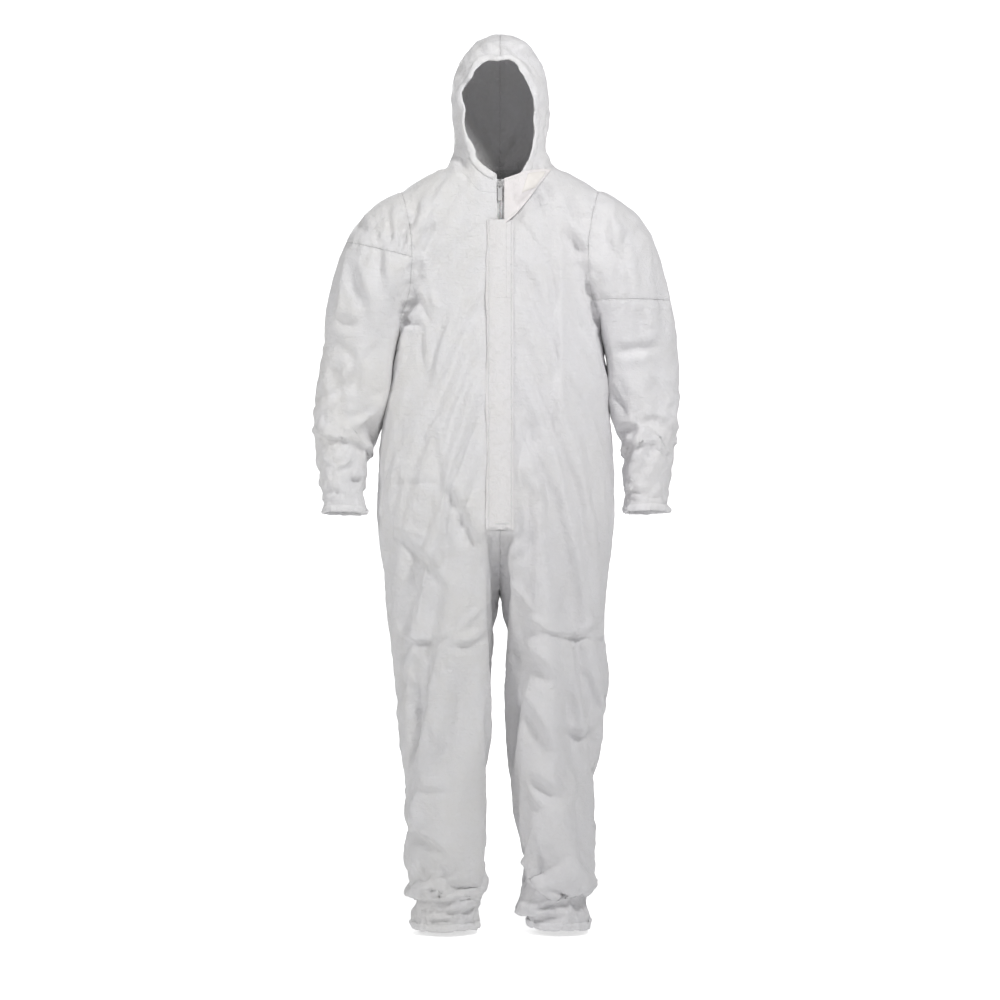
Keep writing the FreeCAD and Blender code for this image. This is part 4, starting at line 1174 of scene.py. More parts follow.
def cloth_piece(name, chosen, weight, still, moving, start, end, replaced=None):
    """Cut the chosen faces out of the garment and give them thickness."""
    faces = [polygons[i] for i in np.where(chosen)[0]]
    used = np.unique(np.concatenate(faces))
    count = len(used)
    renumber = np.full(len(points), -1, np.int64)
    renumber[used] = np.arange(count)
    faces = [renumber[face] for face in faces]
    a = np.concatenate(faces)
    b = np.concatenate([np.roll(face, -1) for face in faces])
    rim = ~np.isin(a*count + b, b*count + a)
    solid = [face.tolist() for face in faces] + [(face[::-1] + count).tolist() for face in faces]
    solid += [(int(q), int(p), int(p) + count, int(q) + count) for p, q in zip(a[rim], b[rim])]
    outer, outward = points[used], normals[used]
    vertices = np.concatenate([outer, outer - outward*CLOTH_THICKNESS])
    ob = mesh_object(name, vertices.tolist(), solid)
    shade_smooth(ob.data)
    ob.data.normals_split_custom_set_from_vertices(
        np.concatenate([outward, -outward]).tolist())
    set_vectors(ob.data, "rest", vertices)
    for seam in SEAMS:
        set_values(ob.data, seam, np.tile(seams[seam][used], 2))
    follow(ob, still, moving, np.tile(weight[used], 2), start, end)
    if replaced:
        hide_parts(replaced)
    cloth_pieces.append(ob)


def cut_cloth_pieces():
    centres = np.stack([np.add.reduceat(points[corners, k], first_corner) for k in range(3)])
    x, y, z = centres/corner_count
    mark = np.add.reduceat(sleeve_mark[corners], first_corner)/corner_count
    sleeve = np.where(z > ARMHOLE_FOOT, (np.abs(x) > armhole(z)) & (z < ARMHOLE_TOP), mark > 0.5)
    hood = ~sleeve & (z > neck_z(x, y)) & (z > 1.37)
    lower_arm = past_elbow(x, z) > 0
    shoulder, hip = get_values(mesh, "ws"), get_values(mesh, "wh")
    elbow = (ease(0.233, 0.393, sleeve_travel(points))
             * ease(0.004, 0.050, past_elbow(points[:, 0], points[:, 2])))
    knee = ease(KNEE_CUT, 0.265, points[:, 2])
    for side in (-1, 1):
        name = SIDE_NAME[side]
        own = x*side > 0
        trunk = ~sleeve & ~hood & own
        to_arm = ("torso", "arm_upper_" + name, (side*0.1, 0, 1.29), (side*0.25, 0, 1.2))
        for facing, half in (("front", y < 0), ("back", y >= 0)):
            if facing == "front":
                chest = "front_panel_" + name
            else:
                chest = "back_panel" if side < 0 else None
            cloth_piece("chest_%s_%s" % (facing, name), trunk & (z > WAIST_CUT) & half,
                        shoulder, *to_arm, chest)
            cloth_piece("leg_upper_%s_panel_%s" % (facing, name),
                        trunk & (z <= WAIST_CUT) & (z > KNEE_CUT) & half, hip,
                        "torso", "leg_upper_" + name, (side*0.107, 0, 0.93),
                        (side*0.107, 0, 0.6), "leg_upper_%s_%s" % (name, facing)
                        if False else "leg_upper_%s_%s" % (facing, name))
            cloth_piece("leg_lower_%s_panel_%s" % (facing, name),
                        trunk & (z <= KNEE_CUT) & half, knee,
                        "leg_upper_" + name, "leg_lower_" + name, (side*0.107, 0, 0.505),
                        (side*0.107, 0, 0.265), "leg_lower_%s_%s" % (facing, name))
        cloth_piece("sleeve_upper_panel_" + name, sleeve & own & ~lower_arm, shoulder,
                    *to_arm, "sleeve_upper_" + name)
        cloth_piece("sleeve_lower_panel_" + name, sleeve & own & lower_arm, elbow,
                    "arm_upper_" + name, "arm_lower_" + name, (side*0.27, 0, 1.12),
                    (side*0.287, 0, 0.96), "sleeve_lower_" + name)
        cloth_piece("hood_half_" + name, hood & own, hood_weight(points), "torso", "hood",
                    (0, 0.088, 1.44), (0, 0.088, 1.6), "hood_panel_" + name)


cut_cloth_pieces()
cloth_surface = BVHTree.FromPolygons(points.tolist(), [face.tolist() for face in polygons])
fittings = []       # (object, key of its material)


def fit(ob, replaced, mover, material):
    if replaced:
        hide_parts(replaced)
    if mover:
        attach(ob, mover)
    fittings.append((ob, material))


# ---------------------------------------------------------------- bindings round hems and face
# across the band: distance in from the edge, height off the cloth, share of the ruffle
BINDING_PROFILE = [
    (12.6, 0.45, 0.0), (12.2, 1.3, 0.25), (10.5, 1.75, 0.6), (8, 1.8, 1.0), (5, 1.7, 1.0),
    (2.5, 1.6, 0.9), (0.2, 1.45, 0.7), (-1.4, 0.7, 0.5), (-1.9, -0.6, 0.2), (-1.2, -1.9, 0.0),
    (1.0, -2.6, -0.3), (5, -2.8, -0.5), (9, -2.7, -0.3), (12.2, -2.5, 0.0), (12.5, -1.8, 0.0),
    (9, -1.5, 0), (4, -1.5, 0), (0.5, -1.2, 0), (-0.5, -0.4, 0), (0.6, 0.15, 0), (5, 0.25, 0),
    (10, 0.25, 0)]
BINDING_STEP = 0.0013


def ring_smooth(values, rounds):
    for _ in range(rounds):
        values = 0.5*values + 0.25*(np.roll(values, 1, 0) + np.roll(values, -1, 0))
    return values


def resample_ring(ring, others, step):
    """Even steps round a closed ring, for its points and the values that go with them."""
    at = travel(np.concatenate([ring, ring[:1]]))
    stops = np.linspace(0, at[-1], max(8, int(at[-1]/step)), endpoint=False)
    even = []
    for values in [ring] + others:
        closed = np.concatenate([values, values[:1]])
        even.append(np.stack([np.interp(stops, at, closed[:, k]) for k in range(3)], -1))
    return even, stops, at[-1]


def binding(name, loop, ruffle, seed, sway, width=1.0, smoothing=3, gap=None):
    """Ruffled folded band round a rim; gap marks points where it is left open.
    ruffle (mm) is its height, sway scales the waviness in the plane of the cloth."""
    ring, outward, inward = loop
    outward = ring_smooth(outward, 2)
    inward = ring_smooth(unit(inward), 3)
    (ring, outward, inward), stops, length = resample_ring(ring, [outward, inward],
                                                           BINDING_STEP)
    ring = ring_smooth(ring, smoothing)
    if gap is not None:
        keep = ~gap(ring)
        dropped = np.where(~keep)[0]
        breaks = np.where(np.diff(dropped) > 1)[0]
        last = dropped[breaks[0]] if len(breaks) else dropped[-1]
        ring, outward, inward, stops, keep = (np.roll(values, -(last + 1), 0) for values in
                                              (ring, outward, inward, stops, keep))
        ring, outward, inward, stops = (values[keep] for values in
                                        (ring, outward, inward, stops))
    outward = unit(outward)
    inward = unit(inward - outward*(inward*outward).sum(-1, keepdims=True))
    random = np.random.default_rng(seed)
    turn = 2*np.pi*stops/length
    phase = sum(size*np.sin(turn*count + random.uniform(0, 6))
                for size, count in ((0.9, 3), (0.7, 7), (0.5, 13)))
    wave = np.sin(3*turn + 1.4*phase)
    size = 0.75 + 0.35*np.sin(turn*5 + random.uniform(0, 6))
    lift = ruffle*size*(0.5 + 0.5*wave)
    grid = np.empty((len(ring), len(BINDING_PROFILE), 3))
    for j, (across, height, share) in enumerate(BINDING_PROFILE):
        shift = across*width + sway*ruffle*wave*size*max(0.0, 1 - abs(across)/11.0)
        foot = ring + inward*(shift/1000)[:, None]
        if across > 3:
            for i in range(len(ring)):
                nearest = cloth_surface.find_nearest(Vector(foot[i]), 0.012)[0]
                # None when the cloth is farther than 12 mm
                if nearest is not None:
                    foot[i] = np.array(nearest[:])*0.8 + foot[i]*0.2
        grid[:, j] = foot + outward*((height + share*lift)/1000)[:, None]
    rings, sides = grid.shape[:2]
    faces = ring_quads(rings, sides, closed=gap is None)
    if gap is not None:
        faces.append(tuple(range(sides)))
        faces.append(tuple((rings - 1)*sides + j for j in range(sides))[::-1])
    return solid_object(name, grid.reshape(-1, 3), faces)


for loop in loops:
    centre = loop[0].mean(0)
    side = 1 if centre[0] > 0 else -1
    name = SIDE_NAME[side]
    if centre[2] > 1.3:
        ob = binding("hood_face_binding", loop, ruffle=2.4, seed=3, sway=1.1, smoothing=2,
                     gap=lambda ring: (np.abs(ring[:, 0]) < 0.0075) & (ring[:, 2] < 1.45))
        follow(ob, "torso", "hood", hood_weight(coords(ob.data)), (0, 0.088, 1.44),
               (0, 0.088, 1.6))
        fit(ob, "hood_face_elastic", None, "binding")
    elif abs(centre[0]) > 0.2:
        ob = binding("wrist_binding_" + name, loop, ruffle=1.6, seed=5 + int(side > 0),
                     sway=0.8, width=0.95)
        fit(ob, "wrist_elastic_" + name, "arm_lower_" + name, "binding")
    else:
        ob = binding("ankle_binding_" + name, loop, ruffle=2.6, seed=9 + int(side > 0),
                     sway=0.95, width=1.05)
        fit(ob, "ankle_elastic_" + name, "leg_lower_" + name, "binding")

# ---------------------------------------------------------------- zip
LEAN_COS, LEAN_SIN = math.cos(math.atan(LEAN)), math.sin(math.atan(LEAN))
ZIP_OUTWARD = np.array([0, -LEAN_COS, LEAN_SIN])
COIL_PITCH, COIL_FOOT, COIL_TOP, COIL_SIDES = 1.9, 3, 648, 8
# one turn of the coil: distance from the middle line, size
COIL_TURN = [(0.05, 0.16), (0.4, 0.46), (1.25, 0.58), (2.25, 0.56), (2.85, 0.42), (3.2, 0.14)]


def on_zip(x, out, up):
    """Metres from the zip's own frame in mm: x across, out from the front line, up along it."""
    x, out, up = np.broadcast_arrays(*(np.asarray(value, float) for value in (x, out, up)))
    return np.stack([x, -ZIP_FOOT_DEPTH - LEAN_COS*out + LEAN_SIN*up,
                     ZIP_FOOT_Z + LEAN_SIN*out + LEAN_COS*up], -1)/1000


def zip_tape(side):
    up = np.linspace(-6, 652, 330)[:, None]
    across = np.linspace(0.7, 15, 22)[None, :]
    lift = 0.6*ease(578, 592, up)
    ribs = (0.22*np.exp(-((across - 13.9)/0.5)**2) + 0.30*np.exp(-((across - 2.2)/1.0)**2))
    return sheet("zip_tape_woven_" + SIDE_NAME[side], on_zip(side*across, -2.45 + ribs + lift, up),
                 on_zip(side*across, -3.05 + lift, up))


def zip_coil(side):
    """Rounded turns one above another; the two rows lie half a pitch apart."""
    offset, size = np.array(COIL_TURN).T[:, :, None]
    angle = 2*np.pi*np.arange(COIL_SIDES)/COIL_SIDES
    foot = COIL_FOOT + (0.0 if side > 0 else COIL_PITCH/2)
    return beads_object("zip_coil_" + SIDE_NAME[side], [
        on_zip(side*offset, -1.15 + 0.95*size/0.58*np.cos(angle),
               foot + i*COIL_PITCH + 0.713*size*np.sin(angle))
        for i in range(int((COIL_TOP - COIL_FOOT)/COIL_PITCH))])


for side in (-1, 1):
    fit(zip_tape(side), "zip_tape_" + SIDE_NAME[side], "torso", "tape")
    fit(zip_coil(side), "zip_teeth_" + SIDE_NAME[side], "torso", "coil")

# ---------------------------------------------------------------- storm flap
STITCH_INSET_X = 21         # rows of stitching, mm either side of the middle
BOX_LINE_UP = 428           # height of the line across the upper end


def no_seams(mesh):
    for seam in SEAMS:
        set_values(mesh, seam, np.ones(len(mesh.vertices)))


def storm_flap():
    """Two-ply flap fixed along the wearer's left edge, free along the right."""
    rows = np.concatenate([np.linspace(-4, 2, 5), np.arange(5, 571, 3.0),
                           np.linspace(571, 575, 4)])
    columns = np.concatenate([np.linspace(25, 22.4, 5), np.linspace(21.9, 20.1, 5),
                              np.linspace(19, -19, 27), np.linspace(-20.1, -21.9, 5),
                              np.linspace(-22.6, -25.6, 6)])
    x, up = np.meshgrid(columns, rows)
    top = 2.3 + 4.9*(1 - (np.minimum(np.abs(x), 24)/24)**2)
    # slow waves, a tilt towards the free edge, ripples by the stitching, uneven swelling
    top += (0.20*np.sin(up/41 + x/17) + 0.20*np.sin(up/19 + 1.3 - x/9)
            + 0.5*np.sin(up/67 + 2)*(-x/25)
            + 0.25*np.sin(up/7.3 + x/6)*np.exp(-((np.abs(x) - STITCH_INSET_X)/5)**2))
    uneven = np.array([noise.noise((a/26, b/60, 0.3)) for a, b in zip(x.ravel(), up.ravel())])
    top += (0.9*uneven.reshape(x.shape) + 0.15)*(1 - 0.6*np.exp(-(x/8)**4))
    top -= 0.55*np.exp(-((np.abs(x) - STITCH_INSET_X)/0.55)**2)
    foot = np.maximum(ease(-4, 1, up), np.exp(-(x/8.5)**4))
    top = 1.9 + (top - 1.9)*ease(25.2, 22.5, x)*foot
    free = ease(-22.4, -25.6, x)
    top -= 1.0*free
    under = np.maximum(top - 1.1, np.where(x > 22, 0.25, 1.25))
    under = np.where(x > 23.4, 0.15, under)
    under = np.minimum(under, top - 0.9)
    wavy_x = x - free*1.2*np.sin(up/33 + 0.6) - free*0.5*np.sin(up/11)
    ob = sheet("storm_flap_fabric", on_zip(wavy_x, top, up), on_zip(wavy_x, under, up))
    no_seams(ob.data)
    upright = np.where(up > BOX_LINE_UP - 1, np.abs(x - columns[15]), 99)
    level = np.where((x > -6) & (x < 20.5), np.abs(up - BOX_LINE_UP), 99)
    stitching = np.minimum(np.abs(np.abs(x) - STITCH_INSET_X), np.minimum(upright, level))
    set_values(ob.data, "st", np.tile(stitching.ravel()/1000, 2))
    set_vectors(ob.data, "rest", np.tile(np.stack([x, up, 0*up], -1).reshape(-1, 3),
                                         (2, 1))/1000)
    return ob


flap = storm_flap()
fit(flap, "storm_flap", "storm_flap", "flap")

x, up = np.meshgrid(np.linspace(-20, -10, 9), np.arange(16, 550.1, 4.0))
fit(sheet("flap_tape_strip", on_zip(x, 1.05 + 0.05*np.sin(up/9), up), on_zip(x, 0.7, up)),
    "flap_tape", "torso", "adhesive")

# ---------------------------------------------------------------- stitching
THREAD_RADIUS, STITCH_LENGTH = 0.26, 2.7     # mm
TACK_FOOT, TACK_TOP, TACK_PITCH = 6.0, 9.4, 1.05


def thread_bead(centres, outward, across, lift, height, width, taper):
    """One raised stitch: five six-sided rings, sizes in mm, tapering at its ends."""
    angle = 2*np.pi*np.arange(6)/6
    taper = taper[:, None]
    out = lift[:, None] + height*np.sin(angle)*taper
    sideways = width*np.cos(angle)*taper
    return (centres[:, None] + outward*out[..., None]/1000
            + np.reshape(across, (-1, 1, 3))*sideways[..., None]/1000)


def stitch_row(name, path, outward, gap):
    """A row of thread stitches along a path (metres)."""
    outward = np.array(outward, float)
    at = travel(path)*1000
    bulge = np.sin(np.pi*(np.arange(5) + 0.35)/4.7)
    beads = []
    start = 0.6
    while start + STITCH_LENGTH < at[-1]:
        stops = np.linspace(start, start + STITCH_LENGTH, 5)
        centres = np.stack([np.interp(stops, at, path[:, k]) for k in range(3)], -1)
        across = np.cross(unit(np.gradient(centres, axis=0)), outward)
        beads.append(thread_bead(centres, outward, across,
                                 lift=1.6*THREAD_RADIUS*(0.10 + 0.30*bulge),
                                 height=0.88*THREAD_RADIUS, width=THREAD_RADIUS,
                                 taper=0.35 + 0.65*bulge))
        start += STITCH_LENGTH + gap
    return beads_object(name, beads)


flap_surface = BVHTree.FromObject(flap, bpy.context.evaluated_depsgraph_get())


def on_flap(x, up):
    hit = flap_surface.ray_cast(Vector(on_zip(x, 30, up)), Vector(-ZIP_OUTWARD))[0]
    # a ray that slips past the flap falls back to its usual height
    return np.array(hit[:]) if hit is not None else on_zip(x, 5, up)


def bar_tack():
    """Close row of short threads across the lower end of the flap."""
    bulge = np.sin(np.pi*(np.arange(5) + 0.4)/4.8)
    beads = []
    for x in np.arange(-9, 18.6, TACK_PITCH):
        foot, top = on_flap(x - 0.5, TACK_FOOT), on_flap(x + 0.5, TACK_TOP)
        centres = foot + (top - foot)*np.arange(5)[:, None]/4
        beads.append(thread_bead(centres, ZIP_OUTWARD,
                                 np.cross(unit(top - foot), ZIP_OUTWARD),
                                 lift=0.35 + 0.45*bulge, height=0.30, width=0.50,
                                 taper=0.4 + 0.6*bulge))
    return beads_object("flap_bar_tack", beads)


for letter, x in (("a", STITCH_INSET_X), ("b", -STITCH_INSET_X)):
    path = np.array([on_flap(x, up) for up in np.arange(2, 557, 3.0)])
    fit(stitch_row("flap_stitching_" + letter, path, ZIP_OUTWARD, gap=1.0),
        None, "storm_flap", "thread")
fit(bar_tack(), None, "storm_flap", "thread")

# ---------------------------------------------------------------- chin flap
CHIN_CELLS = 45             # grid cells each way
CHIN_STITCH_INSET = 4.5     # mm


def front_y(x, z):
    """y of the plain front surface of trunk and hood, all in metres."""
    x, z = np.abs(x)*1000, z*1000

    def oval(half_width, depth, roundness):
        share = np.clip(x/half_width, 0, 1)
        return -depth*np.maximum(1 - share**roundness, 0)**(1/roundness)
    trunk = oval(curve(TORSO[0], TORSO[1], z), -(front_line(z/1000)*1000), TORSO_ROUNDNESS)
    hood = oval(curve(HOOD[0], HOOD[1], z), curve(HOOD[0], HOOD[2], z), HOOD_ROUNDNESS)
    return np.minimum(trunk, np.where(z > 1424, hood, 0))/1000


def chin_points(across, up, off):
    """Points of the tab, off (mm) in front of the cloth beneath it."""
    inner_x, inner_z = 7.8, 1338 + 86*up
    outer_x, outer_z = 45 + 52*up, 1374 + 69*up
    x = (inner_x + (outer_x - inner_x)*across)/1000
    z = (inner_z + (outer_z - inner_z)*across
         + 5.5*np.sin(np.pi*np.clip(across, 0, 1)**1.3)*up**2
         - 2.5*np.sin(np.pi*across)*(1 - up)**2)/1000
    y = front_y(x, z)
    for place in np.ndindex(y.shape):
        plain = y[place]
        hit = cloth_surface.ray_cast(Vector((x[place], -0.4, z[place])), Vector((0, 1, 0)))[0]
        # the face opening lets some rays through to the back
        on_cloth = hit is not None and hit.y < plain + 0.02
        y[place] = min(hit.y if on_cloth else plain, plain + 0.004)
    for _ in range(6):
        y[1:-1, 1:-1] = (0.5*y[1:-1, 1:-1] + 0.125*(y[:-2, 1:-1] + y[2:, 1:-1]
                                                    + y[1:-1, :-2] + y[1:-1, 2:]))
    return np.stack([x, y - off/1000, z], -1)


def on_chin(grid, across, up):
    """Place on the tab between the points of its grid."""
    row = np.clip(up*CHIN_CELLS, 0, CHIN_CELLS - 0.001)
    column = np.clip(across*CHIN_CELLS, 0, CHIN_CELLS - 0.001)
    i, j = row.astype(int), column.astype(int)
    s, t = (row - i)[..., None], (column - j)[..., None]
    return (grid[i, j]*(1 - s)*(1 - t) + grid[i+1, j]*s*(1 - t)
            + grid[i, j+1]*(1 - s)*t + grid[i+1, j+1]*s*t)


def chin_flap():
    """Two-ply tab lying open on the collar; returns its outer grid too."""
    steps = np.linspace(0, 1, CHIN_CELLS + 1)
    across, up = np.meshgrid(steps, steps)
    off = (5.6 + 2.4*across + 3.0*across**2*up + 7.0*(1 - up)**2*across**0.8
           + 0.7*np.sin(across*7 + up*4) + 0.5*np.sin(up*11 - across*5))
    edge = np.minimum(np.minimum(1 - across, up), 1 - up)*60
    off -= 0.45*np.exp(-((edge - CHIN_STITCH_INSET)/0.8)**2)
    outer = chin_points(across, up, off)
    ob = sheet("chin_flap_fabric", outer, outer + (0, 0.0014, 0))
    no_seams(ob.data)
    set_values(ob.data, "st", np.tile(np.abs(edge - CHIN_STITCH_INSET).ravel()/1000, 2))
    return ob, outer


def release_paper(chin_grid):
    across, up = np.meshgrid(np.linspace(0.52, 0.92, 20), np.linspace(0.50, 0.93, 18))
    outer = on_chin(chin_grid, across, up)
    outer[..., 1] -= (0.55 + 1.6*ease(0.80, 0.92, across)*ease(0.6, 0.93, up))/1000
    return sheet("chin_flap_release_paper", outer, outer + (0, 0.0003, 0))


ob, chin_grid = chin_flap()
fit(ob, "chin_flap", "chin_flap", "chin")
fit(release_paper(chin_grid), "chin_flap_tape", "chin_flap", "paper")
# along the lower edge, up the outer edge and back along the upper edge
across = np.concatenate([np.linspace(0.05, 0.925, 60), np.full(60, 0.925),
                         np.linspace(0.90, 0.05, 60)])
up = np.concatenate([np.full(60, 0.075), np.linspace(0.1, 0.925, 60), np.full(60, 0.925)])
fit(stitch_row("chin_flap_stitching", on_chin(chin_grid, across, up), (0, -1, 0), gap=1.1),
    None, "chin_flap", "thread")


# ---------------------------------------------------------------- inside the back
def inside_back(xs, zs, fallback):
    """y of the inner back surface on a grid; fallback where a ray meets nothing."""
    def depth(x, z):
        hit = cloth_surface.ray_cast(Vector((x, 0.0, z)), Vector((0, 1, 0)))[0]
        return hit.y if hit is not None else fallback
    return np.array([[depth(x, z) for x in xs] for z in zs])


def inside_sheet(name, xs, zs, y, thickness):
    x, z = np.meshgrid(xs, zs)
    return sheet(name, np.stack([x, y - thickness, z], -1), np.stack([x, y, z], -1))


def waist_elastic():
    xs, zs = np.linspace(-0.172, 0.172, 220), np.linspace(1.003, 1.021, 8)
    y = inside_back(xs, zs, 0.11)
    for _ in range(2):
        y[:, 1:-1] = 0.5*y[:, 1:-1] + 0.25*(y[:, :-2] + y[:, 2:])
    ripple = 0.0007*np.sin(xs*2*math.pi/0.0052)
    return inside_sheet("waist_elastic_band", xs, zs, y - 0.0022 + ripple, 0.0009)


def size_label():
    xs, zs = np.linspace(-0.018, 0.018, 26), np.linspace(1.380, 1.432, 30)
    y = inside_back(xs, zs, 0.09)
    y = np.minimum(y, y.mean() + 0.004)
    lift = 0.0012 + 0.0030*ease(1.432, 1.38, zs)[:, None] + 0.0010*np.sin(zs*180)[:, None]
    return inside_sheet("size_label_blank", xs, zs, y - 0.0016 - lift, 0.0005)


fit(waist_elastic(), "waist_elastic", "torso", "elastic")
fit(size_label(), "size_label", "torso", "label")
bpy.data.objects.remove(garment, do_unlink=True)


# ---------------------------------------------------------------- materials
class Shader:
    """Builds one material's nodes; methods take and return sockets or plain values."""

    def __init__(self, name):
        self.material = bpy.data.materials.new(name)
        self.material.use_nodes = True
        self.tree = self.material.node_tree
        self.surface = self.tree.nodes["Principled BSDF"]

    def node(self, kind, inputs=None, **settings):
        node = configure(self.tree.nodes.new("ShaderNode" + kind), **settings)
        for key, value in (inputs or {}).items():
            self.put(node.inputs[key], value)
        return node

    def put(self, socket, value):
        if isinstance(value, bpy.types.NodeSocket):
            self.tree.links.new(value, socket)
        else:
            if socket.type == "RGBA" and len(value) == 3:
                value = (*value, 1)
            socket.default_value = value

    def math(self, operation, *values):
        return self.node("Math", dict(enumerate(values)), operation=operation).outputs[0]

    def add(self, a, b):
        return self.math("ADD", a, b)

    def mul(self, a, b):
        return self.math("MULTIPLY", a, b)

    def value(self, name):
        return self.node("Attribute", attribute_name=name).outputs["Fac"]

    def rest(self):
        return self.node("Attribute", attribute_name="rest").outputs["Vector"]

    def scaled(self, vector, scale):
        return self.node("VectorMath", {0: vector, 1: scale}, operation="MULTIPLY").outputs[0]

    def noise(self, vector, scale, detail=3, roughness=0.55, distortion=0.0):
        return self.node("TexNoise", {"Vector": vector, "Scale": scale, "Detail": detail,
                                      "Roughness": roughness,
                                      "Distortion": distortion}).outputs[0]

    def ramp(self, value, start, end, low=0.0, high=1.0):
        return self.node("MapRange", {0: value, 1: start, 2: end, 3: low, 4: high},
                         interpolation_type="SMOOTHSTEP").outputs[0]

    def mix(self, share, a, b):
        return self.node("Mix", {0: share, 6: a, 7: b}, data_type="RGBA").outputs[2]

    def bump(self, height, distance, strength, under=None):
        inputs = {"Distance": distance, "Strength": strength, "Height": height}
        if under is not None:
            inputs["Normal"] = under
        return self.node("Bump", inputs).outputs[0]

    def split(self, vector):
        return self.node("SeparateXYZ", {0: vector}).outputs

    def finish(self, **inputs):
        """Set the surface; Base_Color stands for the input Base Color."""
        for name, value in inputs.items():
            self.put(self.surface.inputs[name.replace("_", " ")], value)
        return self.material


def seam_marks(shader, x, z):
    """Height of grooves, allowances and stitches along all the seams, and the painted shade that darkens the
    grooves.
    """
    add, mul, ramp, calc = shader.add, shader.mul, shader.ramp, shader.math
    height = painted_groove_shade = None
    for seam, along in (("sa", z), ("sx", z), ("sy", z), ("sc", x), ("sn", x)):
        distance = mul(shader.value(seam), 1000.0)
        away = calc("ABSOLUTE", distance)
        groove = ramp(away, 0.0, 1.5, 1.0, 0.0)
        allowance = mul(ramp(distance, 0.0, 0.8), ramp(distance, 8.5, 7.2))
        # stitches every 3.4 mm in a row 3.6 mm from the seam
        repeat = calc("FRACT", mul(along, 1000/3.4))
        stitch = mul(ramp(calc("ABSOLUTE", calc("SUBTRACT", repeat, 0.4)), 0.34, 0.26),
                     ramp(calc("ABSOLUTE", calc("SUBTRACT", distance, 3.6)), 0.75, 0.25))
        pucker = mul(calc("SINE", mul(along, 1000*2*math.pi/6.8)),
                     ramp(away, 7.0, 1.0, 0.0, 0.16))
        raised = add(add(mul(groove, -0.8), mul(allowance, 0.40)),
                     add(mul(stitch, 0.30), pucker))
        # painted shade darkens each seam groove; the stitches take a little of it off
        dark = add(mul(groove, 0.12 if seam == "sn" else 0.30), mul(stitch, -0.06))
        if seam == "sn":
            raised = mul(raised, 0.4)
        height = raised if height is None else add(height, raised)
        painted_groove_shade = dark if painted_groove_shade is None else add(painted_groove_shade, dark)
    return height, painted_groove_shade


def nonwoven(name, seams=False, stitch_line=False, painted_light_gain=(1, 1, 1)):
    shader = Shader(name)
    add, mul, ramp, mix = shader.add, shader.mul, shader.ramp, shader.mix
    rest = shader.rest()
    x, _, z = shader.split(rest)
    clouds = shader.noise(rest, 5.0, roughness=0.5)
    patches = shader.noise(rest, 26.0, detail=4, roughness=0.6, distortion=0.4)
    crinkle = shader.noise(rest, 95.0, detail=5, roughness=0.62, distortion=0.9)
    # faint lines across the roll of cloth
    lines = shader.noise(shader.scaled(rest, (18, 18, 330)), 1.0, roughness=0.6, distortion=0.3)
    fibre = shader.noise(shader.scaled(rest, (900, 900, 900)), 1.0, detail=4, roughness=0.7,
                         distortion=1.5)
    # bond points, about 1.6 mm apart
    cells = shader.node("TexVoronoi", {"Vector": rest, "Scale": 620.0}, feature="F1")
    dots = ramp(cells.outputs["Distance"], 0.15, 0.55)

    # painted light: the gain given to nonwoven makes lighter copies of the cloth
    def with_painted_light(*colour):
        return tuple(part*share for part, share in zip(colour, painted_light_gain))
    mottle = shader.math("MULTIPLY_ADD", patches, 0.55, mul(clouds, 0.45))
    colour = mix(ramp(mottle, 0.35, 0.65), with_painted_light(0.765, 0.757, 0.748),
                 with_painted_light(0.785, 0.782, 0.795))
    # painted light: the wearer's left side, towards the key lamp, is painted lighter and cooler
    painted_light_left_side = ramp(add(x, mul(clouds, 0.16)), 0.0, 0.18)
    colour = mix(mul(painted_light_left_side, 0.45), colour, with_painted_light(0.80, 0.79, 0.82))
    # painted shade: the low places of the crinkle are painted greyer
    colour = mix(mul(ramp(crinkle, 0.52, 0.30), 0.10), colour, (0.62, 0.62, 0.63))
    colour = mix(mul(dots, 0.05), colour, (0.90, 0.90, 0.90))
    # painted shade: the cloth is painted greyer towards the hems, as if less lit low down
    colour = mix(ramp(z, 1.05, 0.25, 0.0, 0.30), colour, (0.56, 0.56, 0.575))
    # light scuffs low down
    scuffs = mul(ramp(z, 0.16, 0.0),
                 ramp(shader.noise(rest, 60.0, detail=5, roughness=0.7), 0.52, 0.70))
    colour = mix(mul(scuffs, 0.16), colour, (0.52, 0.50, 0.47))
    normal = shader.bump(crinkle, 0.0030, 0.8)
    normal = shader.bump(lines, 0.0011, 0.6, normal)
    normal = shader.bump(add(mul(fibre, 0.6), mul(dots, 0.5)), 0.00022, 0.6, normal)
    if seams:
        height, painted_groove_shade = seam_marks(shader, x, z)
        # painted shade in the seam grooves, uneven along them
        painted_groove_shade = mul(painted_groove_shade, ramp(patches, 0.40, 0.62, 0.05, 0.30))
        normal = shader.bump(height, 0.0011, 1.0, normal)
        colour = mix(shader.math("MAXIMUM", painted_groove_shade, 0.0), colour, (0.42, 0.42, 0.43))
    if stitch_line:
        line = ramp(mul(shader.value("st"), 1000.0), 0.0, 1.0, 1.0, 0.0)
        normal = shader.bump(mul(line, -1.0), 0.0004, 0.8, normal)
        # painted shade along the sunken stitch line
        colour = mix(mul(line, 0.22), colour, (0.45, 0.45, 0.46))
    return shader.finish(Base_Color=colour, Roughness=ramp(patches, 0.3, 0.7, 0.58, 0.74),
                         Normal=normal, Sheen_Weight=0.12, Sheen_Roughness=0.5,
                         Specular_IOR_Level=0.32)


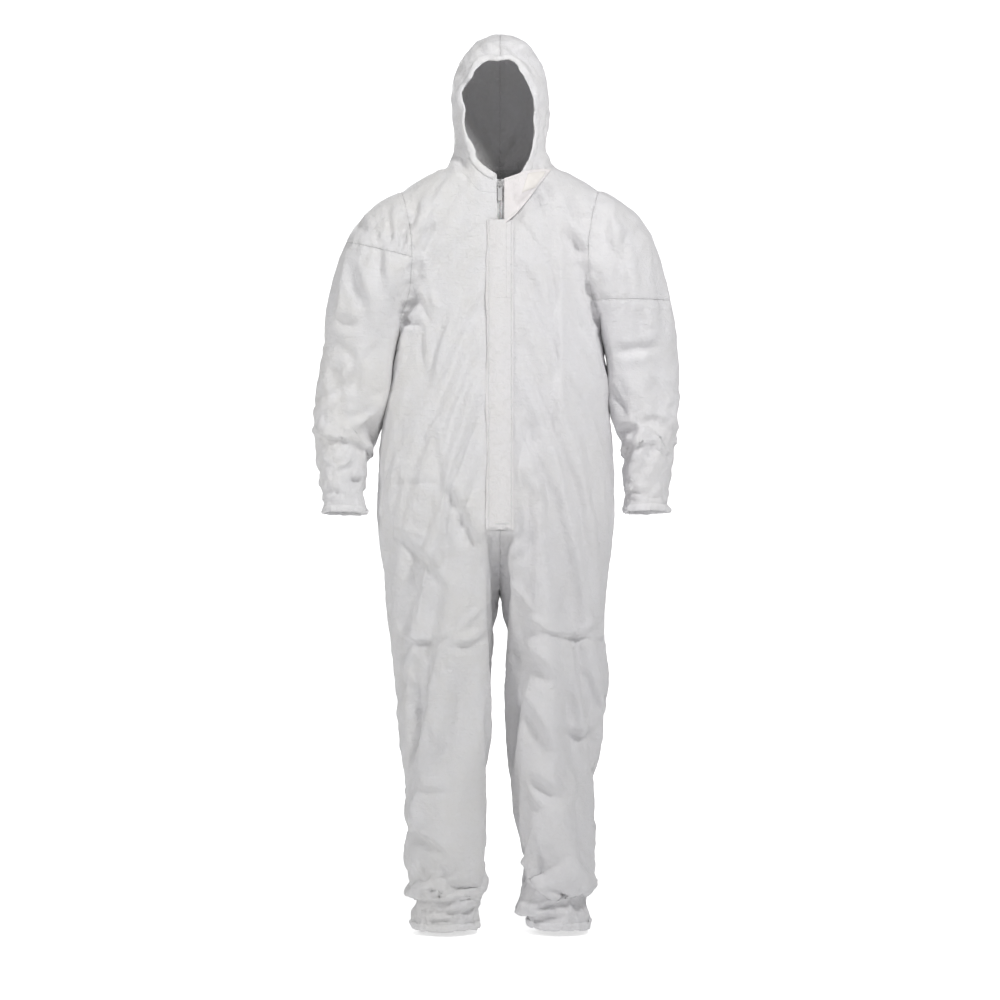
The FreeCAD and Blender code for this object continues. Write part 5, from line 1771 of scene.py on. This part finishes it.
def woven(name, dark, light, pitch=0.55):
    """Plain weave; pitch in mm across, half as long again upwards."""
    shader = Shader(name)
    mul, calc = shader.mul, shader.math
    rest = shader.rest()
    x, _, z = shader.split(rest)
    warp = calc("SINE", mul(x, 1000*2*math.pi/pitch))
    weft = calc("SINE", mul(z, 1000*2*math.pi/(pitch*1.5)))
    height = calc("MULTIPLY_ADD", mul(warp, weft), 0.5, 0.5)
    speckle = shader.noise(rest, 700.0, roughness=0.6)
    # painted shade: the low places of the weave are painted darker, with random speckle
    colour = shader.mix(calc("MULTIPLY_ADD", height, 0.5, mul(speckle, 0.4)), dark, light)
    return shader.finish(Base_Color=colour,
                         Roughness=calc("MULTIPLY_ADD", speckle, 0.12, 0.62 - 0.06),
                         Normal=shader.bump(height, 0.00030, 0.9), Sheen_Weight=0.25,
                         Specular_IOR_Level=0.3)


def plain(name, dark, light, roughness, scale, bump, metal=0.0, translucence=0.0, coat=0.0,
          worn_edge=None):
    """Even material: two mixed colours, a roughness range, grain scale and bump depth."""
    shader = Shader(name)
    place = shader.node("TexCoord").outputs["Object"]
    patches = shader.noise(place, scale, detail=4, roughness=0.6, distortion=0.3)
    grain = shader.noise(place, scale*6, detail=4, roughness=0.65)
    colour = shader.mix(patches, dark, light)
    if worn_edge is not None:
        edge = shader.ramp(shader.node("NewGeometry").outputs["Pointiness"], 0.52, 0.60)
        colour = shader.mix(shader.mul(edge, shader.ramp(grain, 0.40, 0.60)), colour, worn_edge)
    return shader.finish(Base_Color=colour, Roughness=shader.ramp(grain, 0.3, 0.7, *roughness),
                         Normal=shader.bump(grain, bump, 0.6), Metallic=metal,
                         Subsurface_Weight=translucence, Subsurface_Scale=0.002,
                         Coat_Weight=coat, Coat_Roughness=0.25)


materials = {
    "cloth": nonwoven("nonwoven_cloth", seams=True),
    # painted light: the storm flap, chin flap and bindings are lighter copies of the same cloth
    "flap": nonwoven("nonwoven_flap", stitch_line=True, painted_light_gain=(1.17, 1.155, 1.145)),
    "chin": nonwoven("nonwoven_chin_flap", stitch_line=True, painted_light_gain=(1.09, 1.055, 1.045)),
    "binding": nonwoven("nonwoven_binding", painted_light_gain=(1.07, 1.07, 1.07)),
    "tape": woven("zip_tape_weave", (0.90, 0.90, 0.905), (0.96, 0.96, 0.96)),
    "elastic": woven("elastic_knit", (0.62, 0.62, 0.61), (0.82, 0.82, 0.80), pitch=1.1),
    "coil": plain("nylon_coil", (0.86, 0.86, 0.865), (0.92, 0.92, 0.92),
                  roughness=(0.28, 0.40), scale=120, bump=0.00006, translucence=0.2),
    "slider": plain("lacquered_slider", (0.42, 0.42, 0.43), (0.52, 0.52, 0.53),
                    roughness=(0.26, 0.42), scale=160, bump=0.00008, metal=0.35, coat=0.5,
                    worn_edge=(0.75, 0.74, 0.72)),
    "tab": plain("lacquered_pull_tab", (0.55, 0.55, 0.56), (0.64, 0.64, 0.65),
                 roughness=(0.28, 0.44), scale=160, bump=0.00008, metal=0.2, coat=0.5,
                 worn_edge=(0.78, 0.77, 0.75)),
    "stops": plain("pressed_stops", (0.58, 0.58, 0.59), (0.68, 0.68, 0.69),
                   roughness=(0.30, 0.46), scale=200, bump=0.00005, metal=0.7),
    "thread": plain("sewing_thread", (0.80, 0.80, 0.80), (0.90, 0.90, 0.89),
                    roughness=(0.50, 0.66), scale=900, bump=0.00010, translucence=0.1),
    "paper": plain("release_paper", (0.80, 0.765, 0.735), (0.83, 0.80, 0.77),
                   roughness=(0.50, 0.62), scale=70, bump=0.00025),
    "adhesive": plain("adhesive_strip", (0.74, 0.71, 0.65), (0.80, 0.77, 0.71),
                      roughness=(0.30, 0.42), scale=90, bump=0.00015, coat=0.2),
    "label": plain("satin_label", (0.84, 0.84, 0.85), (0.90, 0.90, 0.90),
                   roughness=(0.36, 0.50), scale=300, bump=0.00010)}

for ob in cloth_pieces:
    ob.data.materials.append(materials["cloth"])
for ob, key in fittings:
    ob.data.materials.clear()
    ob.data.materials.append(materials[key])
for name, key in (("zip_slider", "slider"), ("zip_pull_tab", "tab"),
                  ("zip_bottom_stop", "stops"), ("zip_top_stops", "stops")):
    part = frame["nodes"][name]
    # the frame may list the object itself or only a record of it
    if not isinstance(part, bpy.types.Object):
        part = bpy.data.objects[name]
    if not part.material_slots:
        part.data.materials.append(materials[key])
    for slot in part.material_slots:
        slot.material = materials[key]


# ---------------------------------------------------------------- stage, light, camera
def floor(half_width=9, rows=60):
    """Level floor that curves up into a wall behind the garment."""
    vertices = []
    for j in range(rows + 1):
        t = j/rows
        if t < 0.6:
            y, z = -6 + t/0.6*10.5, 0.0
        else:
            angle = (t - 0.6)/0.4*math.pi/2
            y, z = 4.5 + 3.0*math.sin(angle), 3.0*(1 - math.cos(angle))
        vertices += [(-half_width, y, z), (half_width, y, z)]
    vertices += [(-half_width, 7.5, 8), (half_width, 7.5, 8)]
    ob = mesh_object("floor", vertices,
                     [(2*j, 2*j + 1, 2*j + 3, 2*j + 2) for j in range(rows + 1)])
    shade_smooth(ob.data)
    return ob


def floor_material():
    """Pale floor, brighter to the camera away from the garment."""
    shader = Shader("pale_floor")
    mul = shader.mul
    x, y, _ = shader.split(shader.node("NewGeometry").outputs["Position"])
    far = shader.ramp(shader.math("SQRT", shader.add(mul(x, x), mul(y, y))), 0.40, 2.4)
    to_camera = shader.node("LightPath").outputs["Is Camera Ray"]
    glow = shader.add(mul(shader.math("MULTIPLY_ADD", far, 0.50, 0.40), to_camera), 0.22)
    return shader.finish(Emission_Color=(1, 1, 1), Base_Color=(0.90, 0.90, 0.90),
                         Roughness=0.8, Emission_Strength=glow, Specular_IOR_Level=0.1)


def world():
    """Soft light all round; plain white to the camera."""
    sky = bpy.data.worlds.new("w")
    bpy.context.scene.world = sky
    sky.use_nodes = True
    nodes, links = sky.node_tree.nodes, sky.node_tree.links
    light = nodes["Background"]
    light.inputs[0].default_value = (0.985, 0.99, 1.0, 1)
    light.inputs[1].default_value = 0.215
    path = nodes.new("ShaderNodeLightPath")
    white = nodes.new("ShaderNodeBackground")
    white.inputs[0].default_value = (1, 1, 1, 1)
    white.inputs[1].default_value = 1.0
    choice = nodes.new("ShaderNodeMixShader")
    links.new(path.outputs["Is Camera Ray"], choice.inputs[0])
    links.new(light.outputs[0], choice.inputs[1])
    links.new(white.outputs[0], choice.inputs[2])
    links.new(choice.outputs[0], nodes["World Output"].inputs[0])


def area_light(name, place, target, size, power, colour):
    light = configure(bpy.data.lights.new(name, "AREA"), shape="RECTANGLE", size=size[0],
                      size_y=size[1], energy=power, color=colour)
    ob = bpy.data.objects.new(name, light)
    bpy.context.scene.collection.objects.link(ob)
    ob.location = place
    aim = Vector(target) - Vector(place)
    ob.rotation_euler = aim.to_track_quat("-Z", "Y").to_euler()


def camera(middle_z=0.821):
    lens = configure(bpy.data.cameras.new("cam"), sensor_width=36,
                     lens=36/(VIEW_WIDTH/EYE_DISTANCE), shift_y=(middle_z - EYE_Z)/VIEW_WIDTH)
    ob = bpy.data.objects.new("cam", lens)
    bpy.context.scene.collection.objects.link(ob)
    ob.location = (0, -EYE_DISTANCE, EYE_Z)
    ob.rotation_euler = (math.radians(90), 0, 0)
    bpy.context.scene.camera = ob


ground = floor()
ground.data.materials.append(floor_material())
world()
area_light("key", place=(1.20, -2.05, 3.10), target=(0, 0, 1.15), size=(0.45, 0.45),
           power=56, colour=(1.0, 0.996, 0.99))
area_light("side", place=(-2.8, -1.7, 2.2), target=(0, 0, 1.2), size=(0.7, 0.9),
           power=33, colour=(1.0, 0.99, 0.98))
area_light("back", place=(-1.0, 3.1, 2.2), target=(0, 0, 0.95), size=(0.5, 0.5),
           power=24, colour=(0.98, 0.99, 1.0))
area_light("back_side", place=(1.6, 3.0, 1.2), target=(0, 0, 0.85), size=(0.9, 1.2),
           power=7, colour=(0.985, 0.99, 1.0))
bpy.context.scene.view_settings.view_transform = "Standard"
camera()
